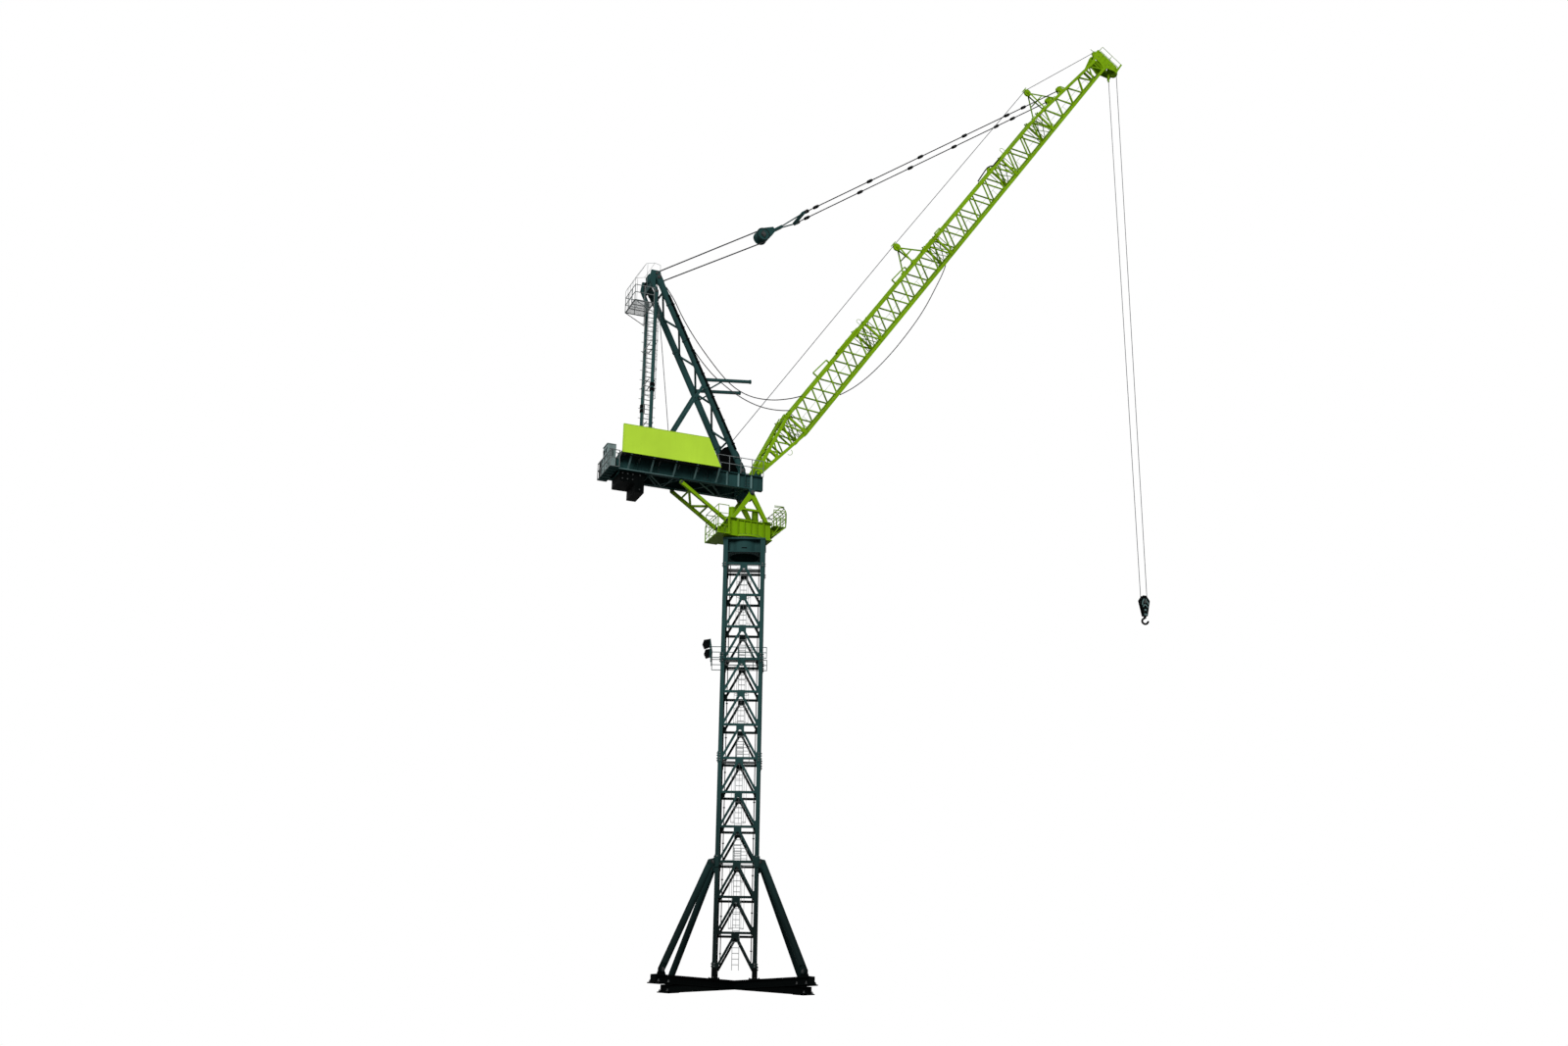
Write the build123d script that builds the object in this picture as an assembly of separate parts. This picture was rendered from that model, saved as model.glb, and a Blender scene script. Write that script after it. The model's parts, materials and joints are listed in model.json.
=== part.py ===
from build123d import *
from math import atan2, cos, degrees, hypot, radians, sin, sqrt, tan
import os

# A luffing-jib tower crane on a fixed cross base, drawn at half its real size, in millimetres.
# The origin is on the ground at the centre of the cross base and +Z is up. The tower stands square
# to X and Y. The upperworks are drawn with the jib over +X and are then slewed to their rest angle,
# and the jib is drawn lying along +X from its heel pin and is then luffed to its rest angle.

# Rest pose
SLEW_REST = 22.0
JIB_ANGLE = 54.6

# Clearances
SEAT = 0.3
PIN_PLAY = 0.3

# Cross base
FOOT_OFFSET = 1900.0
BEAM_WIDTH = 200.0
BEAM_HEIGHT = 225.0
BEAM_FLANGE = 30.0
BEAM_WEB = 60.0
FOOT_PLATE = 440.0
FOOT_PLATE_THICK = 30.0
ANCHOR_SPACING = 340.0
ANCHOR_RADIUS = 16.0
STRUT_DIAMETER = 190.0
STRUT_FOOT_HEIGHT = 360.0
STRUT_FOOT_INSET = 60.0
STRUT_HEAD_DROP = 60.0
STRUT_HEAD_REACH = 130.0
STRUT_EYE = 75.0
STRUT_PIN = 32.0
STRUT_LUG = 60.0
STRUT_CHEEK = 25.0
BRACKET_HEIGHT = 260.0
BRACKET_WALL = 24.0

# Mast
MAST_PITCH = 1080.0
MAST_CHORD = 110.0
MAST_BAY = 950.0
MAST_BAYS = 3
MAST_SECTIONS = 4
MAST_FOOT = 510.0
MAST_BAR = 62.0
MAST_BAR_THICK = 62.0
MAST_GUSSET_WIDTH = 210.0
MAST_GUSSET_DROP = 110.0
MAST_SHOE = 70.0
JOINT_SLEEVE = 134.0
JOINT_SLEEVE_LENGTH = 150.0
PEDESTAL_PLATE = 24.0

# Ladders and landings
LADDER_WIDTH = 200.0
LADDER_STILE = 28.0
LADDER_RUNG = 14.0
LADDER_RUNG_PITCH = 150.0
LANDING_THICK = 14.0
HATCH_DEPTH = 330.0
LANDING_DEPTH = 330.0
LANDING_BAR = 50.0
LADDER_OFFSET = 250.0
LADDER_OVERRUN = 450.0

# Lamp gallery on the mast
LAMP_RAIL_HEIGHT = 330.0
LAMP_RAIL_REACH = 300.0
LAMP_RAIL_OVERHANG = 110.0
LAMP_RAIL_GAP = 110.0
LAMP_SIZE = (210.0, 230.0, 190.0)
LAMP_RISE = 470.0
LAMP_SPREAD = 1060.0

# Slew support and slewing ring
SUPPORT_SIZE = 1250.0
SUPPORT_HEIGHT = 740.0
SUPPORT_PLATE = 45.0
DRUM_RADIUS = 545.0
DRUM_WALL = 40.0
DRUM_HEIGHT = 390.0
COLLAR_FACE = 455.0
COLLAR_WALL = 20.0
RING_RADIUS = 530.0
RING_WIDTH = 90.0
RING_HEIGHT = 56.0

# Slewing platform
PLATFORM_HALF_LENGTH = 680.0
PLATFORM_HALF_WIDTH = 475.0
PLATFORM_HEIGHT = 530.0
PLATFORM_FLANGE = 26.0
PLATFORM_WEB_INSET = 46.0
PLATFORM_WALL = 26.0
PLATFORM_RIB = 18.0
PLATFORM_HATCH = 330.0
PLATFORM_SKIRT = 610.0
GALLERY_THICK = 16.0
REAR_GALLERY_DEPTH = 380.0
FRONT_GALLERY_DEPTH = 390.0
FRONT_GALLERY_DROP = 90.0
GALLERY_HALF_WIDTH = 560.0
RAIL_HEIGHT = 500.0
RAIL_BAR = 18.0

# Deck
GIRDER_PITCH = 900.0
DECK_RISE = 963.0
GIRDER_DEPTH = 450.0
GIRDER_REAR = -4120.0
GIRDER_FRONT = 330.0
GIRDER_FLANGE = 150.0
GIRDER_FLANGE_THICK = 22.0
GIRDER_WEB = 16.0
STIFFENER = 12.0
STIFFENER_COUNT = 9
DECK_BEAM = 90.0
DECK_BEAM_COUNT = 6
PLAN_BRACE_REAR = -3200.0
PLAN_BRACE_FRONT = -200.0
PLAN_BRACE_BAYS = 3
PLAN_BRACE_BAR = 56.0
LEG_PIN_DROP = 95.0
LEG_PIN_RADIUS = 38.0
LEG_EYE = 78.0
LEG_THICK = 90.0
LEG_WIDTH = 110.0
LEG_FRONT_FOOT = 490.0
LEG_REAR_FOOT = -570.0
LEG_TIE_RISE = 330.0
LEG_CHEEK = 28.0
RAKER_TOP = -2180.0
RAKER_SIZE = 92.0
RAKER_EYE = 52.0
RAKER_PIN = 24.0
RAKER_LUG = 36.0
RAKER_CHEEK = 18.0
RAKER_LUG_REACH = 80.0
RAKER_BRACE_START = 640.0
RAKER_BRACE_LENGTH = 760.0
RAKER_BRACE_BAR = 52.0
WALKWAY_WIDTH = 340.0
WALKWAY_FRONT = -1120.0
GRATING_THICK = 20.0
PANEL_DROP = 65.0
PANEL_HEIGHT = 880.0
PANEL_TOP_FRONT = -1520.0
PANEL_THICK = 16.0

# Counterweights and cabinets at the tail
WEIGHT_WIDTH = 800.0
DEEP_WEIGHT_HEIGHT = 590.0
DEEP_WEIGHT_REAR = -3570.0
DEEP_WEIGHT_FRONT = -3290.0
SHALLOW_WEIGHT_HEIGHT = 320.0
SHALLOW_WEIGHT_COUNT = 3
SHALLOW_WEIGHT_REAR = -4030.0
TAIL_PLATFORM_DEPTH = 290.0
CABINET_SIZE = (260.0, 420.0, 820.0)
RESISTOR_SIZE = (250.0, 300.0, 510.0)
TAIL_PLATFORM_HALF = 660.0

# Winches
WINCH_CENTRE = -640.0
WINCH_AXIS_HEIGHT = 560.0
WINCH_BED = 60.0
DRUM_CORE = 220.0
DRUM_FLANGE = 330.0
DRUM_LENGTH = 520.0
WINCH_SIDE = 30.0
WINCH_SHAFT = 45.0
WINCH_OVERLAP = 12.0
LUFF_WINCH_CENTRE = -2650.0
MOTOR_RADIUS = 115.0
MOTOR_LENGTH = 460.0
GEARBOX_HEIGHT = 300.0

# A-frame
FRAME_FOOT = -315.0
FRAME_FOOT_RISE = 110.0
FRAME_HEAD = -3150.0
FRAME_RISE = 5900.0
FRAME_LEG = 200.0
FRAME_EYE = 95.0
FRAME_PIN = 40.0
FRAME_LUG = 60.0
FRAME_CHEEK = 28.0
REAR_LEG = 110.0
REAR_LEG_SETBACK = 50.0
REAR_LEG_DROP = 470.0
REAR_LEG_EYE = 60.0
REAR_LEG_PIN = 26.0
REAR_CHEEK = 20.0
REAR_FOOT_RISE = 80.0
STAY_SIZE = 80.0
LADDER_TIES = (0.25, 0.5, 0.75)
STAY_RISE = 2700.0
BRACE_BAR = 46.0
BRACE_BAYS = 4
BACKSTOP_RISE = 2820.0
BACKSTOP_END = -140.0
BACKSTOP_TILT = 7.5
BACKSTOP_SIZE = 80.0
BRACE_START = 980.0
BRACE_END = 420.0
BRACE_SPILL = 0.12
HEAD_SHEAVE = 380.0
HEAD_SHEAVE_COUNT = 2
HEAD_SHEAVE_PITCH = 64.0
HEAD_AXLE = 36.0
HEAD_AXLE_BACK = 60.0
HEAD_AXLE_RISE = 130.0
HEAD_PLATFORM_DROP = 900.0
HEAD_PLATFORM_DEPTH = 620.0
HEAD_PLATFORM_BAR = 40.0
HEAD_PLATFORM_BAYS = 3

# Jib
HEEL_X = 200.0
HEEL_RISE = 125.0
JIB_WIDTH = 750.0
JIB_DEPTH = 765.0
JIB_OFFSET = 18.0
JIB_CHORD = 90.0
JIB_BAR = 36.0
JIB_BAR_THICK = 40.0
JIB_BAY = 890.0
JIB_SECTION_BAYS = (5, 5, 5, 3)
JIB_SPILL = 0.12
HEEL_LENGTH = 2200.0
HEEL_SOLID = 900.0
HEEL_WINDOW = 400.0
HEEL_BAYS = 2
HEEL_EYE = 92.0
HEEL_PIN = 42.0
HEEL_PLATE = 90.0
HEEL_CHEEK = 30.0
HEEL_SEAT = 140.0
TIP_LENGTH = 3780.0
TIP_DEPTH = 440.0
TIP_BAYS = 5
HEAD_WALL = 30.0
HEAD_HALF = 230.0
HEAD_BAND = 370.0
HEAD_CROWN = 650.0
NOSE_REACH = 600.0
NOSE_DROP = 350.0
NOSE_SHEAVE = 210.0
TOP_SHEAVE = 130.0
SHEAVE_PIN = 30.0
SHEAVE_WIDTH = 60.0
GUIDE_PLACES = (10050.0, 19000.0)
GUIDE_HEIGHT = 720.0
GUIDE_SPREAD = 620.0
GUIDE_BAR = 46.0
GUIDE_PAD = 30.0
GUIDE_SHEAVE = 130.0
GUIDE_PLATE = 20.0

# Luffing tie
TIE_ANCHOR = 19800.0
TIE_ANCHOR_RISE = 110.0
TIE_LUG = 30.0
TIE_CHEEK = 14.0
TIE_EYE = 52.0
TIE_PIN = 22.0
PENDANT = 34.0
PENDANT_LENGTH = 12070.0
COUPLER = 76.0
COUPLER_LENGTH = 190.0
PENDANT_JOINTS = (0.157, 0.226, 0.4, 0.574, 0.767, 0.963)
TIE_SAG = 190.0
BRIDLE = 900.0
BLOCK_LINK = 1200.0
TIE_BLOCK = 660.0
TIE_BLOCK_HEIGHT = 440.0
TIE_BLOCK_WIDTH = 330.0
BLOCK_AXLE_SHARE = 0.7

# Ropes and hook block
ROPE = 22.0
HOOK_DROP = 20150.0
BLOCK_UP = 210.0
BLOCK_DOWN = 475.0
BLOCK_HALF = 182.0
BLOCK_PLATE = 26.0
BLOCK_SHEAVE = 140.0
BLOCK_CROWN = 60.0
BLOCK_SHOULDER = 40.0
BLOCK_FOOT = 70.0
HOUSING_HEIGHT = 170.0
HOOK_SHANK = 20.0
HOOK_NUT = 28.0
HOOK_NUT_HEIGHT = 26.0
HOOK_COLLAR = 44.0
HOOK_NECK = 70.0
HOOK_BAR = 34.0
HOOK_RING = 95.0

# Slack cables, whose points are chosen by eye: two from the A-frame to the jib's top chord, given
# as X, Y and Z in the upperworks, and one below the jib, given as X and Z in the jib
CABLE = 30.0
CABLE_BEND = 0.45
FRAME_CABLE = (
    (-2890.7, -450, 20281.8), (-2640, -448, 19960), (-2430, -440, 19550), (-2196, -430, 19173),
    (-1931, -415, 18806), (-1635, -398, 18445), (-1340, -382, 18116), (-1045, -372, 17800),
    (-745, -368, 17530), (-415, -368, 17335), (-44, -369, 17228), (330, -370, 17213),
    (700, -371, 17250), (1060, -372, 17342), (1380, -374, 17450), (1616.2, -375, 17559.6),
)
LOOP_CABLE = (
    (-1969.4, -450, 18400), (-1800, -435, 18200), (-1590, -408, 17985), (-1350, -387, 17758),
    (-1080, -380, 17550), (-790, -379, 17360), (-540, -378, 17220), (-270, -377, 17098),
    (0, -376, 17010), (260, -376, 16953), (520, -375, 16930), (760, -375, 16936),
    (1000, -375, 16957), (1214.1, -375, 16998.2),
)
JIB_CABLE = (
    (4040, -423.8), (4300, -523), (4640, -628), (5060, -718), (5490, -778), (5920, -818),
    (6360, -845), (6810, -858), (7250, -856), (7690, -846), (8120, -827), (8535, -794),
    (8950, -742), (9350, -676), (9720, -612), (10060, -550), (10320, -492), (10560, -424.3),
)


def point(*xyz):
    return Vector(*xyz)


def slewed(shape):
    """Turn a piece of the upperworks to the rest slew angle."""
    return Rot(0, 0, SLEW_REST) * shape


def luffed(shape):
    """Stand a piece drawn along +X from the heel pin at the rest luff angle."""
    return slewed(Pos(HEEL_X, 0, HEEL_Z) * Rot(0, -JIB_ANGLE, 0) * shape)


def solids(*shapes):
    """One node of several separate solids."""
    return Compound([solid for shape in shapes for solid in shape.solids()])


def profile(points):
    """A filled outline in the XZ plane."""
    return Plane.XZ * Polygon(*points, align=None)


def slab(sketch, thickness):
    """A sketch thickened equally to both sides."""
    return extrude(sketch, amount=thickness / 2, both=True)


def span_plane(start, end, side=None):
    """A plane at start, its Z along the span and its X level across it."""
    run = end - start
    across = side if side else run.cross(Vector(0, 0, 1))
    if across.length < 1e-6:
        across = Vector(1, 0, 0)
    return Plane(origin=start, x_dir=across, z_dir=run)


def bar(start, end, width, depth=None, side=None):
    """A rectangular bar between two points."""
    section = Rectangle(width, depth if depth else width)
    return extrude(span_plane(start, end, side) * section, amount=(end - start).length)


def tube(start, end, diameter):
    """A round bar between two points."""
    return extrude(span_plane(start, end) * Circle(diameter / 2), amount=(end - start).length)


def box(low, high):
    """A box between two corners."""
    size = point(*high) - point(*low)
    return Pos(*low) * Box(size.X, size.Y, size.Z, align=(Align.MIN, Align.MIN, Align.MIN))


def lug(base_half, height, eye, pin, thickness):
    """A lug in the XZ plane: a foot on the X axis that narrows to an eye above it."""
    web = profile([(-base_half, 0), (base_half, 0), (eye, height), (-eye, height)])
    round_end = Plane.XZ * Pos(0, height) * Circle(eye)
    hole = Plane.XZ * Pos(0, height) * Circle(pin + PIN_PLAY)
    return slab(web + round_end - hole, thickness)


def pinned_strut(start, end, side, size, eye, pin, lug_thick, cheek, square=False):
    """A strut with a pinned fork at each end; side is the direction of its pins."""
    length = (end - start).length
    fork = 2.1 * eye
    gap = lug_thick / 2 + SEAT
    section = Rectangle(size, size) if square else Circle(size / 2)
    body = extrude(Plane.YZ.offset(fork) * section, amount=length - 2 * fork)
    for x, toward in ((0, 1), (length, -1)):
        cheek_face = Plane.XZ * Pos(x, 0) * Circle(eye)
        cheek_face += Plane.XZ * Pos(x + toward * fork * 0.55, 0) * Rectangle(fork * 1.1, 2 * eye)
        for y in (-1, 1):
            plate = extrude(cheek_face, amount=cheek)
            body += Pos(0, gap + cheek if y > 0 else -gap, 0) * plate
        shaft = Plane.XZ * Pos(x, 0) * Circle(pin)
        body += slab(shaft, 2 * (gap + cheek + SEAT + cheek / 2))
    run = (end - start).normalized()
    return Plane(origin=start, x_dir=run, z_dir=run.cross(side)).location * body


def inset(points, amount):
    """An outline drawn in by an amount on every side."""
    return offset(Polygon(*points, align=None), -amount, kind=Kind.INTERSECTION)


def stretched(points, factor):
    """A triangle grown about its first corner."""
    left, low = points[0]
    return [points[0]] + [(left + factor * (x - left), low + factor * (y - low)) for x, y in points[1:]]


def tangent(first, second, side):
    """The ends of a rope on the outer tangent of two circles (x, z, radius) in the XZ plane.

    Seen along +Y with +X to the right, side 1 is the left of the way from the first to the second."""
    run = hypot(second[0] - first[0], second[1] - first[1])
    along = ((second[0] - first[0]) / run, (second[1] - first[1]) / run)
    lean = (first[2] - second[2]) / run
    square = side * sqrt(1 - lean ** 2)
    out = (lean * along[0] - square * along[1], lean * along[1] + square * along[0])
    return [point(x + radius * out[0], 0, z + radius * out[1]) for x, z, radius in (first, second)]


def lifted(x, z):
    """Where a point of the jib stands in the upperworks at the rest luff angle."""
    turn = radians(JIB_ANGLE)
    return HEEL_X + x * cos(turn) - z * sin(turn), HEEL_Z + x * sin(turn) + z * cos(turn)


# Heights and places that follow from the sizes above
SECTION_HEIGHT = MAST_BAYS * MAST_BAY
MAST_TOP = MAST_FOOT + MAST_SECTIONS * SECTION_HEIGHT
SUPPORT_TOP = MAST_TOP + SUPPORT_HEIGHT
PLATFORM_BOTTOM = SUPPORT_TOP + RING_HEIGHT + 2 * SEAT
PLATFORM_TOP = PLATFORM_BOTTOM + PLATFORM_HEIGHT
GIRDER_BOTTOM = PLATFORM_TOP + DECK_RISE
GIRDER_TOP = GIRDER_BOTTOM + GIRDER_DEPTH
GIRDER_Y = GIRDER_PITCH / 2
FLANGE_OUT = GIRDER_Y + GIRDER_FLANGE / 2
FLANGE_IN = GIRDER_Y - GIRDER_FLANGE / 2
LEG_PIN_Z = GIRDER_BOTTOM - LEG_PIN_DROP
FRAME_FOOT_Z = GIRDER_TOP + FRAME_FOOT_RISE
FRAME_HEAD_Z = GIRDER_TOP + FRAME_RISE
REAR_LEG_X = FRAME_HEAD - REAR_LEG_SETBACK
HEEL_Z = GIRDER_TOP + HEEL_RISE
RAKER_Y = PLATFORM_HALF_WIDTH - 1.2 * RAKER_LUG
RAKER_FOOT_Z = PLATFORM_TOP - 1.5 * RAKER_EYE
FOOT_RADIUS = FOOT_OFFSET * sqrt(2)
CHORD_RADIUS = MAST_PITCH / sqrt(2)
JIB_TOP = JIB_OFFSET + JIB_DEPTH / 2
JIB_BOTTOM = JIB_OFFSET - JIB_DEPTH / 2
JIB_Y = JIB_WIDTH / 2
TIP_START = HEEL_LENGTH + sum(JIB_SECTION_BAYS) * JIB_BAY
TIP_END = TIP_START + TIP_LENGTH
TIP_TOP = JIB_BOTTOM + TIP_DEPTH
NOSE = (TIP_END + NOSE_REACH, JIB_BOTTOM - NOSE_DROP)
CROWN = (TIP_END + HEAD_CROWN, TIP_TOP + JIB_CHORD / 2 + TOP_SHEAVE / 3)
GUIDE_APEX = JIB_TOP + JIB_CHORD / 2 + SEAT + GUIDE_HEIGHT
STRUT_HEAD_Z = MAST_FOOT + SECTION_HEIGHT - STRUT_HEAD_DROP
SLEEVE_RADIUS = CHORD_RADIUS + JOINT_SLEEVE / sqrt(2)
STRUT_HEAD_RADIUS = SLEEVE_RADIUS + STRUT_HEAD_REACH
RAIL_Y = GIRDER_Y + FRAME_LEG / 2 + RAIL_BAR
GROOVE = 0.78
SIDES = (-1, 1)
ACROSS = Vector(0, 1, 0)


# Cross base

def i_section(width, height, flange, web):
    """An I profile in the YZ plane that stands on Z = 0."""
    outline = Pos(0, height / 2) * Rectangle(width, height)
    for side in SIDES:
        pocket = Rectangle((width - web) / 2, height - 2 * flange)
        outline -= Pos(side * (width + web) / 4, height / 2) * pocket
    return Plane.YZ * outline


def strut_lug():
    return lug(1.9 * STRUT_EYE, STRUT_FOOT_HEIGHT - BEAM_HEIGHT, STRUT_EYE, STRUT_PIN, STRUT_LUG)


def base_beam(start, end, feet):
    """A beam of the cross along X, with a foot plate and a strut lug at each given radius."""
    section = i_section(BEAM_WIDTH, BEAM_HEIGHT, BEAM_FLANGE, BEAM_WEB)
    beam = extrude(Pos(start, 0, 0) * section, amount=end - start)
    for radius in feet:
        anchors = GridLocations(ANCHOR_SPACING, ANCHOR_SPACING, 2, 2) * Circle(ANCHOR_RADIUS)
        plate = Rectangle(FOOT_PLATE, FOOT_PLATE) - anchors
        beam += Pos(radius, 0, 0) * extrude(plate, amount=FOOT_PLATE_THICK)
        toward = 1 if radius > 0 else -1
        beam += Pos(radius - toward * STRUT_FOOT_INSET, 0, BEAM_HEIGHT) * strut_lug()
        web_plate = box((-STRUT_CHEEK / 2, -BEAM_WIDTH / 2, 0), (STRUT_CHEEK / 2, BEAM_WIDTH / 2, BEAM_HEIGHT))
        beam += Pos(radius + toward * (FOOT_PLATE - STRUT_CHEEK) / 2, 0, 0) * web_plate
    return beam


def cross_base():
    """One long beam, and two half beams that butt against its flanges."""
    end = FOOT_RADIUS + FOOT_PLATE / 2
    start = BEAM_WIDTH / 2 + SEAT
    long_beam = Rot(0, 0, 45) * base_beam(-end, end, (-FOOT_RADIUS, FOOT_RADIUS))
    half = base_beam(start, end, (FOOT_RADIUS,))
    return solids(long_beam, Rot(0, 0, 135) * half, Rot(0, 0, -45) * half)


def corners(shape):
    """Four copies of a piece drawn on the +X radius, one on each mast diagonal."""
    return solids(*[Rot(0, 0, 45 + 90 * turn) * shape for turn in range(4)])


def mast_pedestals():
    """The stub under each mast chord: a plate on the beam and a square post."""
    foot = BEAM_HEIGHT + SEAT
    post = Pos(CHORD_RADIUS, 0, foot) * Rot(0, 0, 45) * Box(
        JOINT_SLEEVE, JOINT_SLEEVE, MAST_FOOT - SEAT - foot, align=(Align.CENTER, Align.CENTER, Align.MIN))
    plate = Pos(CHORD_RADIUS, 0, foot) * Box(
        1.8 * JOINT_SLEEVE, BEAM_WIDTH, PEDESTAL_PLATE, align=(Align.CENTER, Align.CENTER, Align.MIN))
    return corners(post + plate)


def strut_bracket():
    """An angle around the outer corner of a chord, with the lug that takes the strut's head."""
    reach = JOINT_SLEEVE / 2 + SEAT + BRACKET_WALL
    gap = JOINT_SLEEVE / 2 + SEAT
    outer = Pos(reach - JOINT_SLEEVE / 2, reach - JOINT_SLEEVE / 2) * Rectangle(JOINT_SLEEVE, JOINT_SLEEVE)
    inner = Pos(gap - JOINT_SLEEVE, gap - JOINT_SLEEVE) * Rectangle(2 * JOINT_SLEEVE, 2 * JOINT_SLEEVE)
    angle = extrude(outer - inner, amount=BRACKET_HEIGHT / 2, both=True)
    angle = Pos(CHORD_RADIUS, 0, STRUT_HEAD_Z) * Rot(0, 0, -45) * angle
    ear = lug(1.5 * STRUT_EYE, STRUT_HEAD_REACH, STRUT_EYE, STRUT_PIN, STRUT_LUG)
    return angle + Pos(SLEEVE_RADIUS + SEAT * sqrt(2), 0, STRUT_HEAD_Z) * Rot(0, 90, 0) * ear


def base_strut():
    foot = point(FOOT_RADIUS - STRUT_FOOT_INSET, 0, STRUT_FOOT_HEIGHT)
    head = point(STRUT_HEAD_RADIUS + SEAT * sqrt(2), 0, STRUT_HEAD_Z)
    return pinned_strut(foot, head, ACROSS, STRUT_DIAMETER, STRUT_EYE, STRUT_PIN, STRUT_LUG, STRUT_CHEEK)


# Mast

def bay_holes(width, base, lowest, spill):
    """The openings of one mast bay: a rail at its top and two braces spread down from its middle."""
    rise = MAST_BAY - MAST_BAR
    half = width / 2
    shift = MAST_BAR / 2 * hypot(half, rise) / rise

    def brace(z):
        return half * (1 - z / rise)

    crown = rise - MAST_GUSSET_DROP
    floor = -MAST_BAR if lowest else 0
    middle = [(brace(floor) - shift, floor), (brace(crown) - shift, crown),
              (shift - brace(crown), crown), (shift - brace(floor), floor)]
    shoe = rise * shift / half + MAST_SHOE
    plate = MAST_GUSSET_WIDTH / 2
    edge = half + spill
    side = [(plate, rise), (edge, rise), (edge, shoe), (brace(shoe) + shift, shoe),
            (plate, rise * (1 - (plate - shift) / half))]
    outlines = [middle, side, [(-x, z) for x, z in side]]
    return [Polygon(*[(x, base + z) for x, z in outline], align=None) for outline in outlines]


def mast_panel(width, spill):
    """The flat bracing of one side of a mast section, standing on Z = 0."""
    sheet = Pos(0, SECTION_HEIGHT / 2) * Rectangle(width + (0 if spill else MAST_CHORD), SECTION_HEIGHT)
    holes = []
    for bay in range(MAST_BAYS):
        holes += bay_holes(width, bay * MAST_BAY, bay == 0, spill)
    return slab(Plane.XZ * (sheet - holes), MAST_BAR_THICK)


def mast_frame():
    """Two chords, their joint sleeves and the bracing between them."""
    frame = mast_panel(MAST_PITCH - MAST_CHORD, 0)
    for side in SIDES:
        x = side * MAST_PITCH / 2
        frame += Pos(x, 0, SECTION_HEIGHT / 2) * Box(MAST_CHORD, MAST_CHORD, SECTION_HEIGHT)
        for z in (JOINT_SLEEVE_LENGTH / 2, SECTION_HEIGHT - JOINT_SLEEVE_LENGTH / 2):
            frame += Pos(x, 0, z) * Box(JOINT_SLEEVE, JOINT_SLEEVE, JOINT_SLEEVE_LENGTH)
    return frame


def mast_section(index):
    """Front and back frames with the chords, and the two side panels let in between them."""
    z = MAST_FOOT + index * SECTION_HEIGHT
    frame = mast_frame()
    clear = MAST_PITCH - JOINT_SLEEVE - 2 * SEAT
    panel = Rot(0, 0, 90) * mast_panel(clear, MAST_BAR)
    pieces = [Pos(0, side * MAST_PITCH / 2, z) * frame for side in SIDES]
    pieces += [Pos(side * MAST_PITCH / 2, 0, z) * panel for side in SIDES]
    return solids(*pieces)


def ladder(height):
    """A ladder standing on the XY plane, its rungs along X."""
    rungs = int(height // LADDER_RUNG_PITCH)
    sheet = Pos(0, height / 2) * Rectangle(LADDER_WIDTH, height)
    first = (height - (rungs - 1) * LADDER_RUNG_PITCH) / 2
    edges = [0] + [first + index * LADDER_RUNG_PITCH for index in range(rungs)] + [height]
    gaps = []
    for low, high in zip(edges, edges[1:]):
        bottom = low + LADDER_RUNG / 2 if low > 0 else -LADDER_RUNG
        top = high - LADDER_RUNG / 2 if high < height else height + LADDER_RUNG
        opening = Rectangle(LADDER_WIDTH - 2 * LADDER_RUNG, top - bottom)
        gaps.append(Pos(0, (bottom + top) / 2) * opening)
    return slab(Plane.XZ * (sheet - gaps), LADDER_STILE)


def landing_sides():
    """The side of the mast, front or back, that each section's ladder climbs on."""
    return [1 if index % 2 == 0 else -1 for index in range(MAST_SECTIONS)]


def mast_ladders():
    """One ladder a section, each passing through the hatch of the landing at its top."""
    pieces = []
    for index, side in enumerate(landing_sides()):
        foot = MAST_FOOT + index * SECTION_HEIGHT + SEAT
        head = MAST_FOOT + (index + 1) * SECTION_HEIGHT + (LADDER_OVERRUN if index < MAST_SECTIONS - 1 else 0)
        pieces.append(Pos(0, side * LADDER_OFFSET, foot) * ladder(head - foot))
    return solids(*pieces)


def landings():
    """The landing inside the head of each section, with a wide hatch that its ladder comes up through."""
    pieces = []
    width = MAST_PITCH - MAST_BAR_THICK - 2 * SEAT
    for index, side in enumerate(landing_sides()):
        z = MAST_FOOT + (index + 1) * SECTION_HEIGHT
        edge = LADDER_OFFSET + LADDER_STILE / 2 + SEAT
        depth = LANDING_BAR + HATCH_DEPTH + LANDING_DEPTH
        plate = Pos(0, side * (edge + LANDING_BAR - depth / 2)) * Rectangle(width, depth)
        plate -= Pos(0, side * (edge - HATCH_DEPTH / 2)) * Rectangle(width - 2 * LANDING_BAR, HATCH_DEPTH)
        pieces.append(Pos(0, 0, z - LANDING_THICK) * extrude(plate, amount=LANDING_THICK))
    return solids(*pieces)


# Slew support and slewing ring

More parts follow.
